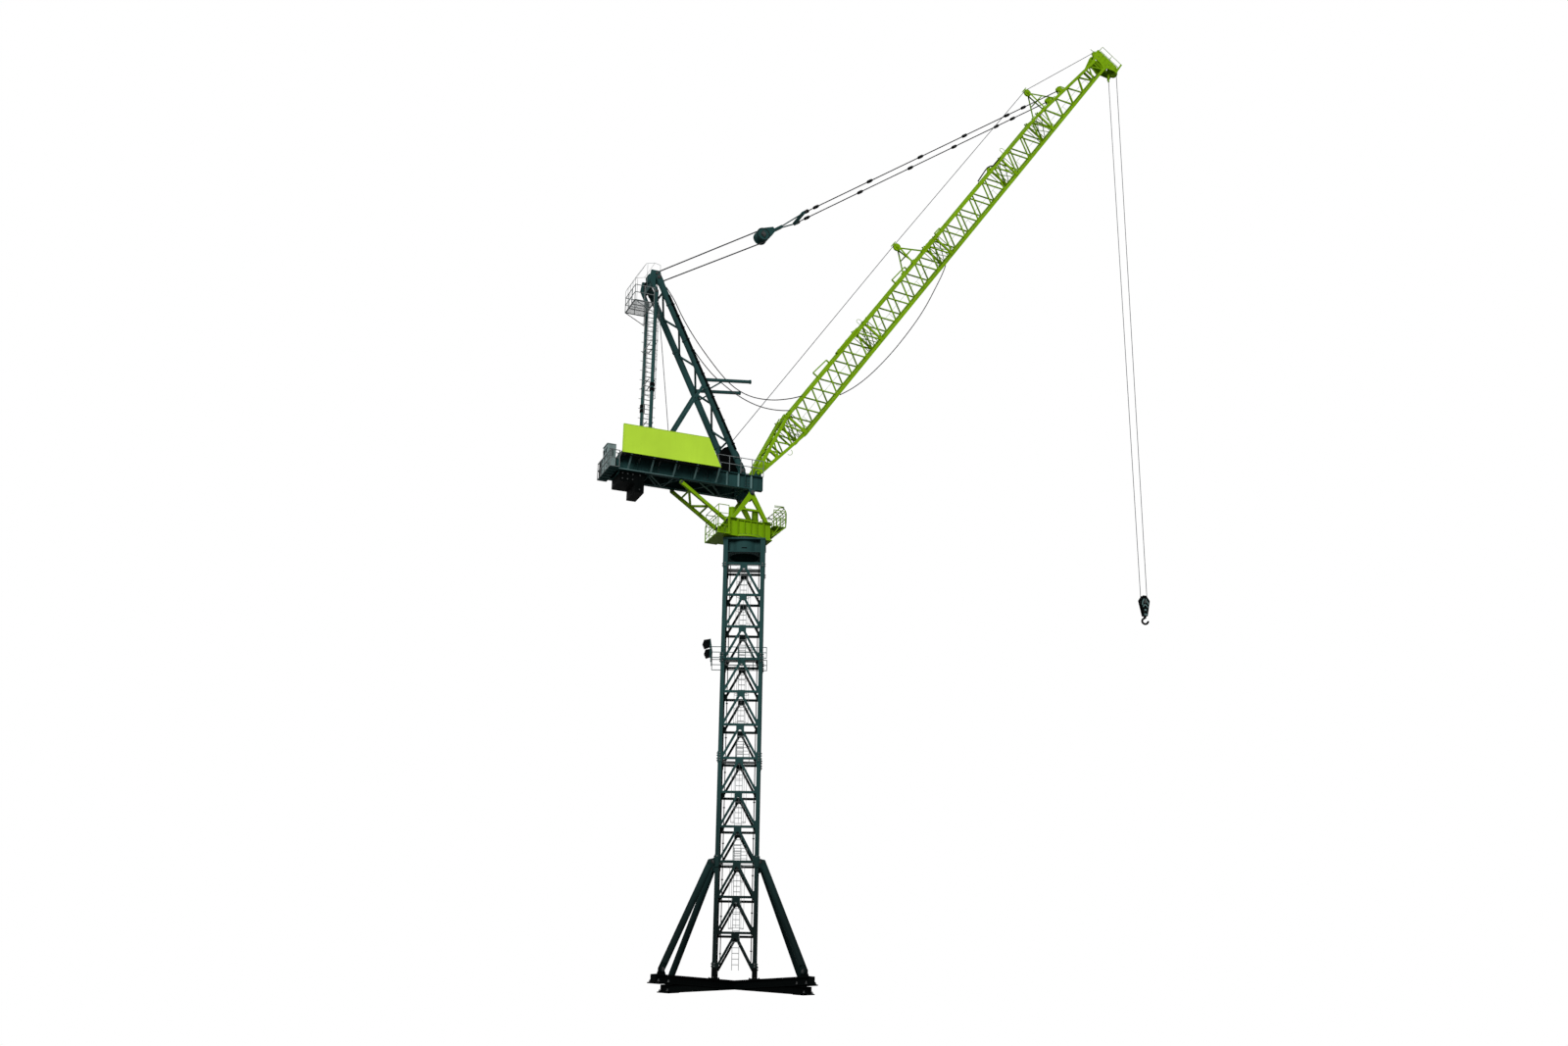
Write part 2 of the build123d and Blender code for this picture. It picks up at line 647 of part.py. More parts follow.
def slew_support():
    """Four posts that carry a drum in a square collar and the plate under the slewing ring."""
    opening = RING_RADIUS - RING_WIDTH
    base = MAST_TOP + SEAT
    plate_z = SUPPORT_TOP - SUPPORT_PLATE
    drum_z = plate_z - DRUM_HEIGHT
    drum = extrude(Circle(DRUM_RADIUS) - Circle(DRUM_RADIUS - DRUM_WALL), amount=DRUM_HEIGHT)
    body = Pos(0, 0, drum_z) * drum
    body += Pos(0, 0, plate_z) * extrude(
        Rectangle(SUPPORT_SIZE, SUPPORT_SIZE) - Circle(opening), amount=SUPPORT_PLATE)
    lower = Rectangle(MAST_PITCH + JOINT_SLEEVE, MAST_PITCH + JOINT_SLEEVE) - Circle(opening)
    body += Pos(0, 0, drum_z) * extrude(lower, amount=SUPPORT_PLATE / 2)
    for turn in range(4):
        post = box((MAST_PITCH / 2 - JOINT_SLEEVE / 2, MAST_PITCH / 2 - JOINT_SLEEVE / 2, base),
                   (MAST_PITCH / 2 + JOINT_SLEEVE / 2, MAST_PITCH / 2 + JOINT_SLEEVE / 2, plate_z))
        reach = MAST_PITCH / 2 - JOINT_SLEEVE / 2
        face = box((-reach, COLLAR_FACE - COLLAR_WALL, drum_z), (reach, COLLAR_FACE, plate_z))
        body += Rot(0, 0, 90 * turn) * (post + face)
    return body


def slewing_ring():
    ring = Circle(RING_RADIUS) - Circle(RING_RADIUS - RING_WIDTH)
    return Pos(0, 0, SUPPORT_TOP + SEAT) * extrude(ring, amount=RING_HEIGHT)


# Railings are flat frames of posts and two rails

def railing(length, height, posts):
    """A railing in the XZ plane from the origin along +X, standing on Z = 0."""
    sheet = Pos(length / 2, height / 2) * Rectangle(length, height)
    pitch = (length - RAIL_BAR) / (posts - 1)
    levels = (0, height / 2)
    for index in range(posts - 1):
        for level in levels:
            bottom = level + (RAIL_BAR / 2 if level else -RAIL_BAR)
            top = level + height / 2 - (RAIL_BAR / 2 if level == 0 else RAIL_BAR)
            hole = Rectangle(pitch - RAIL_BAR, top - bottom)
            sheet -= Pos(RAIL_BAR + index * pitch + (pitch - RAIL_BAR) / 2, (bottom + top) / 2) * hole
    return slab(Plane.XZ * sheet, RAIL_BAR)


def lamp_gallery():
    """Rails round the front, the back and one side of the mast, on stubs from its chords."""
    z = MAST_FOOT + (MAST_SECTIONS - 1) * SECTION_HEIGHT - LAMP_RAIL_HEIGHT / 6
    sleeve = (MAST_PITCH + JOINT_SLEEVE) / 2
    left = -sleeve - LAMP_RAIL_REACH
    length = 2 * sleeve + LAMP_RAIL_REACH + LAMP_RAIL_OVERHANG
    pieces = []
    for side in SIDES:
        y = side * (sleeve + LAMP_RAIL_GAP)
        rail = Pos(left, y, z) * railing(length, LAMP_RAIL_HEIGHT, 5)
        rail += Pos(left, y, z) * box((0, -RAIL_BAR / 2, 0), (length, RAIL_BAR / 2, RAIL_BAR))
        for chord in SIDES:
            stub = bar(point(chord * MAST_PITCH / 2, side * (sleeve + SEAT), z + RAIL_BAR / 2),
                       point(chord * MAST_PITCH / 2, y, z + RAIL_BAR / 2), RAIL_BAR)
            rail += stub
        pieces.append(rail)
    span = 2 * (sleeve + LAMP_RAIL_GAP) - RAIL_BAR - 2 * SEAT
    end = railing(span, LAMP_RISE + LAMP_SIZE[2] / 2, 4)
    pieces.append(Pos(left + RAIL_BAR / 2, -span / 2, z) * Rot(0, 0, 90) * end)
    return solids(*pieces)


def floodlights():
    """Two lamps outside the end rail, one near each end of it, tilted down."""
    z = MAST_FOOT + (MAST_SECTIONS - 1) * SECTION_HEIGHT - LAMP_RAIL_HEIGHT / 6
    face = -(MAST_PITCH + JOINT_SLEEVE) / 2 - LAMP_RAIL_REACH - SEAT
    length, width, height = LAMP_SIZE
    hood = profile([(0, -height / 2), (-0.75 * length, -0.8 * height), (-length, -height / 4),
                    (-0.85 * length, height / 3), (0, height / 2)])
    lamp = slab(hood, width)
    return solids(*[Pos(face, side * LAMP_SPREAD / 2, z + LAMP_RISE) * lamp for side in SIDES])


# Slewing platform

def slewing_platform():
    """A hollow box with overhanging flanges, ribs on its webs and lugs for the raking struts."""
    length, width = 2 * PLATFORM_HALF_LENGTH, 2 * PLATFORM_HALF_WIDTH
    base = Align.CENTER, Align.CENTER, Align.MIN
    web_length, web_width = length - 2 * PLATFORM_WEB_INSET, width - 2 * PLATFORM_WEB_INSET
    inside = PLATFORM_HEIGHT - 2 * PLATFORM_FLANGE
    body = Box(web_length, web_width, PLATFORM_HEIGHT, align=base)
    body -= Pos(0, 0, PLATFORM_FLANGE) * Box(
        web_length - 2 * PLATFORM_WALL, web_width - 2 * PLATFORM_WALL, inside, align=base)
    for z in (0, PLATFORM_HEIGHT - PLATFORM_FLANGE):
        body += Pos(0, 0, z) * Box(length, width, PLATFORM_FLANGE, align=base)
    for x in (-0.62, 0, 0.62):
        for side in SIDES:
            rib = Box(PLATFORM_RIB, PLATFORM_WEB_INSET, PLATFORM_HEIGHT, align=base)
            body += Pos(x * PLATFORM_HALF_LENGTH, side * (width - PLATFORM_WEB_INSET) / 2, 0) * rib
    for y in (-0.5, 0.5):
        for side in SIDES:
            rib = Box(PLATFORM_WEB_INSET, PLATFORM_RIB, PLATFORM_HEIGHT, align=base)
            body += Pos(side * (length - PLATFORM_WEB_INSET) / 2, y * PLATFORM_HALF_WIDTH, 0) * rib
    body += Cylinder(PLATFORM_SKIRT, 2 * PLATFORM_FLANGE, align=base)
    body -= Cylinder(PLATFORM_HATCH, PLATFORM_HEIGHT, align=base)
    body = Pos(0, 0, PLATFORM_BOTTOM) * body
    for side in SIDES:
        ear = lug(1.3 * RAKER_EYE, RAKER_LUG_REACH, RAKER_EYE, RAKER_PIN, RAKER_LUG)
        body += Pos(-PLATFORM_HALF_LENGTH, side * RAKER_Y, RAKER_FOOT_Z) * Rot(0, -90, 0) * ear
        backing = Box(PLATFORM_WEB_INSET, RAKER_LUG, 3 * RAKER_EYE, align=(Align.MIN, Align.CENTER, Align.MAX))
        body += Pos(-PLATFORM_HALF_LENGTH, side * RAKER_Y, PLATFORM_TOP) * backing
    return body


def slewing_galleries():
    """Railed walkways around the tail and in front of the slewing platform."""
    rear = -PLATFORM_HALF_LENGTH - SEAT
    low = PLATFORM_BOTTOM
    floor = box((rear - REAR_GALLERY_DEPTH, -GALLERY_HALF_WIDTH, low),
                (rear, GALLERY_HALF_WIDTH, low + GALLERY_THICK))
    end_rail = Rot(0, 0, 90) * railing(2 * GALLERY_HALF_WIDTH, RAIL_HEIGHT, 4)
    top = low + GALLERY_THICK
    floor += Pos(rear - REAR_GALLERY_DEPTH + RAIL_BAR / 2, -GALLERY_HALF_WIDTH, top) * end_rail
    side_rail = railing(REAR_GALLERY_DEPTH, RAIL_HEIGHT, 2)
    for side in SIDES:
        floor += Pos(rear - REAR_GALLERY_DEPTH, side * (GALLERY_HALF_WIDTH - RAIL_BAR / 2), top) * side_rail
    front = PLATFORM_HALF_LENGTH + SEAT
    high = PLATFORM_TOP - FRONT_GALLERY_DROP
    landing = box((front, -GALLERY_HALF_WIDTH, high),
                  (front + FRONT_GALLERY_DEPTH, GALLERY_HALF_WIDTH, high + GALLERY_THICK))
    top = high + GALLERY_THICK
    landing += Pos(front + FRONT_GALLERY_DEPTH - RAIL_BAR / 2, -GALLERY_HALF_WIDTH, top) * end_rail
    side_rail = railing(FRONT_GALLERY_DEPTH, RAIL_HEIGHT, 2)
    for side in SIDES:
        landing += Pos(front, side * (GALLERY_HALF_WIDTH - RAIL_BAR / 2), top) * side_rail
        bracket = profile([(0, 0), (FRONT_GALLERY_DEPTH, 0), (0, -FRONT_GALLERY_DEPTH / 2)])
        landing += Pos(front, side * GALLERY_HALF_WIDTH / 2, high) * slab(bracket, RAIL_BAR)
    return solids(floor, landing)


def support_leg():
    """An inverted V between the slewing platform and the deck's main pin, with a tie across it."""
    height = LEG_PIN_Z - PLATFORM_TOP - SEAT
    half = LEG_WIDTH / 2
    crotch = height - 2.2 * LEG_EYE
    outline = [(LEG_REAR_FOOT - half, 0), (-LEG_EYE, height), (LEG_EYE, height), (LEG_FRONT_FOOT + half, 0),
               (LEG_FRONT_FOOT - half, 0), (0, crotch), (LEG_REAR_FOOT + half, 0)]
    tie = LEG_TIE_RISE / height
    left, right = LEG_REAR_FOOT * (1 - tie), LEG_FRONT_FOOT * (1 - tie)
    face = profile(outline)
    face += Plane.XZ * Pos((left + right) / 2, LEG_TIE_RISE) * Rectangle(right - left, LEG_WIDTH / 2)
    face += Plane.XZ * Pos(0, height) * Circle(LEG_EYE)
    leg = slab(face, LEG_THICK)
    leg += slab(Plane.XZ * Pos(0, height) * Circle(LEG_PIN_RADIUS), LEG_THICK + 2 * SEAT + 4 * LEG_CHEEK)
    return Pos(0, 0, PLATFORM_TOP + SEAT) * leg


def support_legs():
    return solids(*[Pos(0, side * GIRDER_Y, 0) * support_leg() for side in SIDES])


def raker_line(side):
    """Foot and head of a raking strut."""
    foot = point(-PLATFORM_HALF_LENGTH - RAKER_LUG_REACH, side * RAKER_Y, RAKER_FOOT_Z)
    return foot, point(RAKER_TOP, side * RAKER_Y, GIRDER_BOTTOM - RAKER_LUG_REACH)


def raking_struts():
    """Two struts that hold the deck level, and the brace between them."""
    pieces = []
    for side in SIDES:
        pieces.append(pinned_strut(*raker_line(side), ACROSS, RAKER_SIZE, RAKER_EYE, RAKER_PIN, RAKER_LUG,
                                   RAKER_CHEEK, True))
    foot, head = raker_line(0)
    run = (head - foot).normalized()
    width = 2 * RAKER_Y - RAKER_SIZE - 2 * SEAT
    brace = zigzag_panel(RAKER_BRACE_LENGTH, width, 1, RAKER_BRACE_BAR, RAKER_BRACE_BAR, BRACE_SPILL)
    start = foot + run * RAKER_BRACE_START
    pieces.append(Plane(origin=start, x_dir=run, z_dir=run.cross(ACROSS)).location * brace)
    return solids(*pieces)


# Deck

def deck_girder(side):
    """One girder of the deck with its stiffeners and every lug that stands on it or hangs below it."""
    length = GIRDER_FRONT - GIRDER_REAR
    section = i_section(GIRDER_FLANGE, GIRDER_DEPTH, GIRDER_FLANGE_THICK, GIRDER_WEB)
    girder = extrude(Pos(GIRDER_REAR, 0, 0) * section, amount=length)
    pitch = (length - STIFFENER) / (STIFFENER_COUNT - 1)
    for index in range(STIFFENER_COUNT):
        x = GIRDER_REAR + index * pitch
        girder += box((x, -GIRDER_FLANGE / 2, 0), (x + STIFFENER, GIRDER_FLANGE / 2, GIRDER_DEPTH))
    for cheek in SIDES:
        shift = cheek * (LEG_THICK / 2 + SEAT + LEG_CHEEK / 2)
        hanger = lug(1.5 * LEG_EYE, LEG_PIN_DROP, 0.9 * LEG_EYE, LEG_PIN_RADIUS, LEG_CHEEK)
        girder += Pos(0, shift, 0) * Rot(180, 0, 0) * hanger
    raker_ear = lug(1.3 * RAKER_EYE, RAKER_LUG_REACH, RAKER_EYE, RAKER_PIN, RAKER_LUG)
    girder += Pos(RAKER_TOP, side * (RAKER_Y - GIRDER_Y), 0) * Rot(180, 0, 0) * raker_ear
    foot_lug = lug(1.4 * FRAME_EYE, FRAME_FOOT_RISE, FRAME_EYE, FRAME_PIN, FRAME_LUG)
    girder += Pos(FRAME_FOOT, 0, GIRDER_DEPTH) * foot_lug
    rear_lug = lug(1.6 * REAR_LEG_EYE, REAR_FOOT_RISE, REAR_LEG_EYE, REAR_LEG_PIN, FRAME_LUG)
    girder += Pos(REAR_LEG_X, 0, GIRDER_DEPTH) * rear_lug
    seat_in = JIB_Y - HEEL_PLATE / 2 - SEAT - HEEL_CHEEK - GIRDER_Y
    seat_out = JIB_Y + HEEL_PLATE / 2 + SEAT + HEEL_CHEEK - GIRDER_Y
    half_seat = 1.4 * HEEL_EYE
    block = box((HEEL_X - half_seat, seat_in, GIRDER_DEPTH - HEEL_SEAT),
                (HEEL_X + half_seat, seat_out, GIRDER_DEPTH))
    for y in (seat_in + HEEL_CHEEK / 2, seat_out - HEEL_CHEEK / 2):
        ear = lug(half_seat, HEEL_RISE, 0.9 * HEEL_EYE, HEEL_PIN, HEEL_CHEEK)
        block += Pos(HEEL_X, y, GIRDER_DEPTH) * ear
    girder += block if side > 0 else mirror(block, about=Plane.XZ)
    return Pos(0, side * GIRDER_Y, GIRDER_BOTTOM) * girder


def deck_cross_beams():
    """Box beams between the girders under the gratings, and the lacing between their lower flanges."""
    half = GIRDER_Y - GIRDER_FLANGE / 2 - SEAT
    top = GIRDER_TOP - GRATING_THICK - SEAT
    rear = GIRDER_REAR + DECK_BEAM
    pitch = (WALKWAY_FRONT - rear) / (DECK_BEAM_COUNT - 1)
    pieces = []
    for index in range(DECK_BEAM_COUNT):
        x = rear + index * pitch
        pieces.append(box((x - DECK_BEAM / 2, -half, top - 2 * DECK_BEAM), (x + DECK_BEAM / 2, half, top)))
    length = PLAN_BRACE_FRONT - PLAN_BRACE_REAR
    lacing = zigzag_panel(length, 2 * half, PLAN_BRACE_BAYS, PLAN_BRACE_BAR, GIRDER_FLANGE_THICK, BRACE_SPILL)
    pieces.append(Pos(PLAN_BRACE_REAR, 0, GIRDER_BOTTOM + GIRDER_FLANGE_THICK / 2) * lacing)
    return solids(*pieces)


def deck_gratings():
    """The floor between the girders, and the walkway bracketed out from the girder on one side."""
    half = FLANGE_IN - SEAT
    bottom = GIRDER_TOP - GRATING_THICK
    floor = box((GIRDER_REAR, -half, bottom), (WALKWAY_FRONT, half, GIRDER_TOP))
    inner = -FLANGE_OUT - SEAT
    outer = inner - WALKWAY_WIDTH
    walkway = box((GIRDER_REAR, outer, bottom), (WALKWAY_FRONT, inner, GIRDER_TOP))
    pitch = (WALKWAY_FRONT - GIRDER_REAR - STIFFENER) / (DECK_BEAM_COUNT - 1)
    bracket = Plane.YZ * Polygon((inner, bottom), (outer, bottom),
                                 (inner, bottom - WALKWAY_WIDTH / 2), align=None)
    for index in range(DECK_BEAM_COUNT):
        walkway += Pos(GIRDER_REAR + index * pitch, 0, 0) * extrude(bracket, amount=STIFFENER)
    return solids(floor, walkway)


def side_panel():
    """The tall panel along the outside of the walkway, with a raked front edge and posts behind it."""
    back = -FLANGE_OUT - WALKWAY_WIDTH - 2 * SEAT
    bottom = GIRDER_TOP - PANEL_DROP
    outline = [(GIRDER_REAR, bottom), (WALKWAY_FRONT, bottom), (PANEL_TOP_FRONT, bottom + PANEL_HEIGHT),
               (GIRDER_REAR, bottom + PANEL_HEIGHT)]
    panel = Pos(0, back - PANEL_THICK / 2, 0) * slab(profile(outline), PANEL_THICK)
    pitch = (PANEL_TOP_FRONT - GIRDER_REAR - RAIL_BAR) / (DECK_BEAM_COUNT - 1)
    for index in range(DECK_BEAM_COUNT):
        x = GIRDER_REAR + index * pitch
        panel += box((x, back, GIRDER_TOP + SEAT), (x + RAIL_BAR, back + 2 * RAIL_BAR, bottom + PANEL_HEIGHT))
    return panel


def stubbed_railing(length, posts):
    """A railing that stands clear of the legs, on stubs from the edge of the girder's flange at +Y."""
    rail = railing(length, RAIL_HEIGHT, posts)
    pitch = (length - RAIL_BAR) / (posts - 1)
    for index in range(posts):
        rail += box((index * pitch, 0, 0),
                    (index * pitch + RAIL_BAR, RAIL_Y - FLANGE_OUT - SEAT, GIRDER_FLANGE_THICK))
    return rail


def deck_railings():
    """Railings along both girders in front of the panel and along the far girder."""
    near = stubbed_railing(GIRDER_FRONT - WALKWAY_FRONT, 5)
    far = stubbed_railing(GIRDER_FRONT - GIRDER_REAR, 12)
    z = GIRDER_TOP - GIRDER_FLANGE_THICK
    return solids(Pos(WALKWAY_FRONT, -RAIL_Y, z) * near,
                  Pos(GIRDER_REAR, RAIL_Y, z) * mirror(far, about=Plane.XZ))


def counterweights():
    """Slabs hung under the tail: a row of shallow ones behind a deep one."""
    top = GIRDER_BOTTOM - SEAT
    half = WEIGHT_WIDTH / 2
    pieces = [box((DEEP_WEIGHT_REAR, -half, top - DEEP_WEIGHT_HEIGHT), (DEEP_WEIGHT_FRONT, half, top))]
    thick = (DEEP_WEIGHT_REAR - SHALLOW_WEIGHT_REAR) / SHALLOW_WEIGHT_COUNT
    for index in range(SHALLOW_WEIGHT_COUNT):
        rear = SHALLOW_WEIGHT_REAR + index * thick
        pieces.append(box((rear, -half, top - SHALLOW_WEIGHT_HEIGHT), (rear + thick - SEAT, half, top)))
    return solids(*pieces)


def tail_platform():
    """A railed floor behind the girders' ends."""
    front = GIRDER_REAR - SEAT
    rear = front - TAIL_PLATFORM_DEPTH
    floor = box((rear, -TAIL_PLATFORM_HALF, GIRDER_BOTTOM),
                (front, TAIL_PLATFORM_HALF, GIRDER_BOTTOM + GALLERY_THICK))
    top = GIRDER_BOTTOM + GALLERY_THICK
    end_rail = Rot(0, 0, 90) * railing(2 * TAIL_PLATFORM_HALF, RAIL_HEIGHT, 5)
    floor += Pos(rear + RAIL_BAR / 2, -TAIL_PLATFORM_HALF, top) * end_rail
    side_rail = railing(TAIL_PLATFORM_DEPTH, RAIL_HEIGHT, 2)
    for side in SIDES:
        floor += Pos(rear, side * (TAIL_PLATFORM_HALF - RAIL_BAR / 2), top) * side_rail
    return floor


def tail_cabinets():
    """The switch cabinet and the resistor box on the tail platform."""
    z = GIRDER_BOTTOM + GALLERY_THICK + SEAT
    front = GIRDER_REAR - 2 * SEAT
    cabinet = box((front - CABINET_SIZE[0], -CABINET_SIZE[1] / 2, z),
                  (front, CABINET_SIZE[1] / 2, z + CABINET_SIZE[2]))
    left = TAIL_PLATFORM_HALF - RAIL_BAR - SEAT
    resistor = box((front - RESISTOR_SIZE[0], left - RESISTOR_SIZE[1], z), (front, left, z + RESISTOR_SIZE[2]))
    return solids(cabinet, resistor)


# Winches

def winch_frame(centre, motor_side):
    """Two side plates on a bed that spans the girders, with the motor on the bed and its gearbox beside it."""
    half = DRUM_LENGTH / 2 + SEAT
    boss = 1.6 * WINCH_SHAFT
    face = profile([(-DRUM_FLANGE, WINCH_BED), (DRUM_FLANGE, WINCH_BED),
                    (boss, WINCH_AXIS_HEIGHT), (-boss, WINCH_AXIS_HEIGHT)])
    face += Plane.XZ * Pos(0, WINCH_AXIS_HEIGHT) * Circle(boss)
    face -= Plane.XZ * Pos(0, WINCH_AXIS_HEIGHT) * Circle(WINCH_SHAFT + PIN_PLAY)
    reach = FLANGE_IN + WINCH_OVERLAP
    motor_x = motor_side * (DRUM_FLANGE + 1.3 * MOTOR_RADIUS)
    bed_ends = sorted((-motor_side * DRUM_FLANGE, motor_x + motor_side * MOTOR_RADIUS))
    frame = box((bed_ends[0], -reach, SEAT), (bed_ends[1], reach, WINCH_BED))
    for side in SIDES:
        frame += Pos(0, side * (half + WINCH_SIDE / 2), 0) * slab(face, WINCH_SIDE)
    motor_z = WINCH_BED + 1.15 * MOTOR_RADIUS
    motor = slab(Plane.XZ * Pos(motor_x, motor_z) * Circle(MOTOR_RADIUS), MOTOR_LENGTH)
    frame += Pos(0, half + WINCH_SIDE - MOTOR_LENGTH / 2, 0) * motor
    cradle = box((motor_x - MOTOR_RADIUS / 2, half + WINCH_SIDE - MOTOR_LENGTH, WINCH_BED / 2),
                 (motor_x + MOTOR_RADIUS / 2, half + WINCH_SIDE, motor_z))
    gearbox = box((min(motor_x, 0) - MOTOR_RADIUS, half + WINCH_SIDE / 2, WINCH_BED / 2),
                  (max(motor_x, 0) + MOTOR_RADIUS, reach, WINCH_BED + GEARBOX_HEIGHT))
    return Pos(centre, 0, GIRDER_TOP) * (frame + cradle + gearbox)


def winch_drum(centre):
    """A flanged drum on its shaft."""
    core = slab(Plane.XZ * Circle(DRUM_CORE), DRUM_LENGTH)
    core += slab(Plane.XZ * Circle(WINCH_SHAFT), DRUM_LENGTH + 2 * WINCH_SIDE + 4 * SEAT)
    for side in SIDES:
        rim = slab(Plane.XZ * Circle(DRUM_FLANGE - SEAT), WINCH_SIDE)
        core += Pos(0, side * (DRUM_LENGTH - WINCH_SIDE) / 2, 0) * rim
    return Pos(centre, 0, GIRDER_TOP + WINCH_AXIS_HEIGHT) * core


# A-frame

def frame_leg_line(side):
    """Foot and head of a front leg of the A-frame."""
    return point(FRAME_FOOT, side * GIRDER_Y, FRAME_FOOT_Z), point(FRAME_HEAD, side * GIRDER_Y, FRAME_HEAD_Z)


def on_frame_leg(side, rise):
    """The point of a front leg's axis at a height above the deck."""
    foot, head = frame_leg_line(side)
    return foot + (head - foot) * ((GIRDER_TOP + rise - foot.Z) / (head.Z - foot.Z))


def frame_front_legs():
    return solids(*[pinned_strut(*frame_leg_line(side), ACROSS, FRAME_LEG, FRAME_EYE, FRAME_PIN,
                                 FRAME_LUG, FRAME_CHEEK)
                    for side in SIDES])


def frame_rear_legs():
    pieces = []
    for side in SIDES:
        foot = point(REAR_LEG_X, side * GIRDER_Y, GIRDER_TOP + REAR_FOOT_RISE)
        head = point(REAR_LEG_X, side * GIRDER_Y, FRAME_HEAD_Z - REAR_LEG_DROP)
        pieces.append(pinned_strut(foot, head, ACROSS, REAR_LEG, REAR_LEG_EYE, REAR_LEG_PIN,
                                   FRAME_LUG, REAR_CHEEK))
    return solids(*pieces)


def without_leg(shape, side):
    """A piece cut to seat on the round of a front leg."""
    foot, head = frame_leg_line(side)
    return shape - tube(foot, head, FRAME_LEG + 2 * SEAT)


def frame_stays():
    """A brace on each side from the deck behind the rear leg's foot up to the front leg."""
    pieces = []
    for side in SIDES:
        top = on_frame_leg(side, STAY_RISE)
        foot = point(REAR_LEG_X + 3 * REAR_LEG_EYE, side * GIRDER_Y, GIRDER_TOP - STAY_SIZE)
        stay = without_leg(bar(foot, top, STAY_SIZE), side)
        below = box((foot.X - 9 * STAY_SIZE, foot.Y - STAY_SIZE, foot.Z - STAY_SIZE),
                    (foot.X + 9 * STAY_SIZE, foot.Y + STAY_SIZE, GIRDER_TOP + SEAT))
        pieces.append(stay - below)
    return solids(*pieces)


def zigzag_holes(length, low, high, bays, bar_width, spill):
    """The triangles of a zigzag along X between two edges, with a bar across each end.

    Each edge is given by its Y at the start and at the end."""

    def edge(upper, x):
        start, end = high if upper else low
        return x, start + (end - start) * x / length

    nodes = [edge(index % 2, index * length / (2 * bays)) for index in range(2 * bays + 1)]
    triangles = [[node, before, after] for before, node, after in zip(nodes, nodes[1:], nodes[2:])]
    step = bar_width / 2
    for node, beside, x in ((nodes[0], nodes[1], step), (nodes[-1], nodes[-2], length - step)):
        share = (x - node[0]) / (beside[0] - node[0])
        apex = (x, node[1] + share * (beside[1] - node[1]))
        triangles.append([apex, beside, edge(True, x)])
    return [inset(stretched(triangle, 1 + spill), bar_width / 2) for triangle in triangles]


def zigzag_panel(length, width, bays, bar_width, thickness, spill):
    """A flat zigzag in the XY plane from X = 0, thickened about Z = 0."""
    edge = (width / 2, width / 2)
    holes = zigzag_holes(length, (-width / 2, -width / 2), edge, bays, bar_width, spill)
    return slab(Pos(length / 2, 0) * Rectangle(length, width) - holes, thickness)


def frame_bracing():
    """The zigzag between the two front legs."""
    foot, head = frame_leg_line(0)
    run = (head - foot).normalized()
    length = (head - foot).length - BRACE_START - BRACE_END
    width = GIRDER_PITCH - FRAME_LEG - 2 * SEAT
    panel = zigzag_panel(length, width, BRACE_BAYS, BRACE_BAR, BRACE_BAR, BRACE_SPILL)
    return Plane(origin=foot + run * BRACE_START, x_dir=run, z_dir=run.cross(ACROSS)).location * panel


def backstops():
    """The two arms on the front legs that the jib leans on when it is fully raised."""
    pieces = []
    for side in SIDES:
        root = on_frame_leg(side, BACKSTOP_RISE)
        reach = BACKSTOP_END - root.X
        end = point(BACKSTOP_END, root.Y, root.Z + reach * tan(radians(BACKSTOP_TILT)))
        arm = bar(root, end, BACKSTOP_SIZE)
        arm += tube(end, end + (end - root).normalized() * BACKSTOP_SIZE / 2, 1.6 * BACKSTOP_SIZE)
        low = on_frame_leg(side, BACKSTOP_RISE - 4 * BACKSTOP_SIZE)
        arm += bar(low, root + (end - root) * 0.45, BACKSTOP_SIZE / 2)
        pieces.append(without_leg(arm, side))
    return solids(*pieces)


def frame_head():
    """The plates that join the legs' heads, and the axle and beams across them."""
    face = profile([(-0.95 * FRAME_EYE, 0), (-FRAME_EYE, -REAR_LEG_DROP / 2),
                    (REAR_LEG_EYE - REAR_LEG_SETBACK, -REAR_LEG_DROP),
                    (-REAR_LEG_EYE - REAR_LEG_SETBACK, -REAR_LEG_DROP),
                    (-3 * FRAME_EYE, -FRAME_EYE), (-2.5 * FRAME_EYE, 2.3 * FRAME_EYE),
                    (0.5 * FRAME_EYE, 2.3 * FRAME_EYE),
                    (0.95 * FRAME_EYE, 0)])
    eyes = ((0, 0, FRAME_EYE, FRAME_PIN), (-REAR_LEG_SETBACK, -REAR_LEG_DROP, REAR_LEG_EYE, REAR_LEG_PIN))
    for x, z, eye, pin in eyes:
        face += Plane.XZ * Pos(x, z) * Circle(eye)
        face -= Plane.XZ * Pos(x, z) * Circle(pin + PIN_PLAY)
    head = slab(Plane.XZ * Pos(-HEAD_AXLE_BACK, HEAD_AXLE_RISE) * Circle(HEAD_AXLE), GIRDER_PITCH)
    for side in SIDES:
        head += Pos(0, side * GIRDER_Y, 0) * slab(face, FRAME_LUG)
    beam = box((-1.9 * FRAME_EYE, -GIRDER_Y, -2.7 * FRAME_EYE), (-1.1 * FRAME_EYE, GIRDER_Y, -0.9 * FRAME_EYE))
    return Pos(FRAME_HEAD, 0, FRAME_HEAD_Z) * (head + beam)


def sheave(radius, bore, width):
    """A grooved sheave about the Y axis, drawn as a turned section."""
    half = width / 2
    floor = GROOVE * radius
    section = Polygon((bore, -half), (radius, -half), (floor, -half / 2), (floor, half / 2), (radius, half),
                      (bore, half), align=None)
    return Rot(90, 0, 0) * revolve(Plane.XZ * section, Axis.Z)


def rope_radius(sheave_radius):
    """The radius of a rope's centre line in the groove of a sheave."""
    return GROOVE * sheave_radius + ROPE / 2 + SEAT


def head_sheave_places():
    """The Y of each head sheave."""
    return [(index - (HEAD_SHEAVE_COUNT - 1) / 2) * HEAD_SHEAVE_PITCH for index in range(HEAD_SHEAVE_COUNT)]


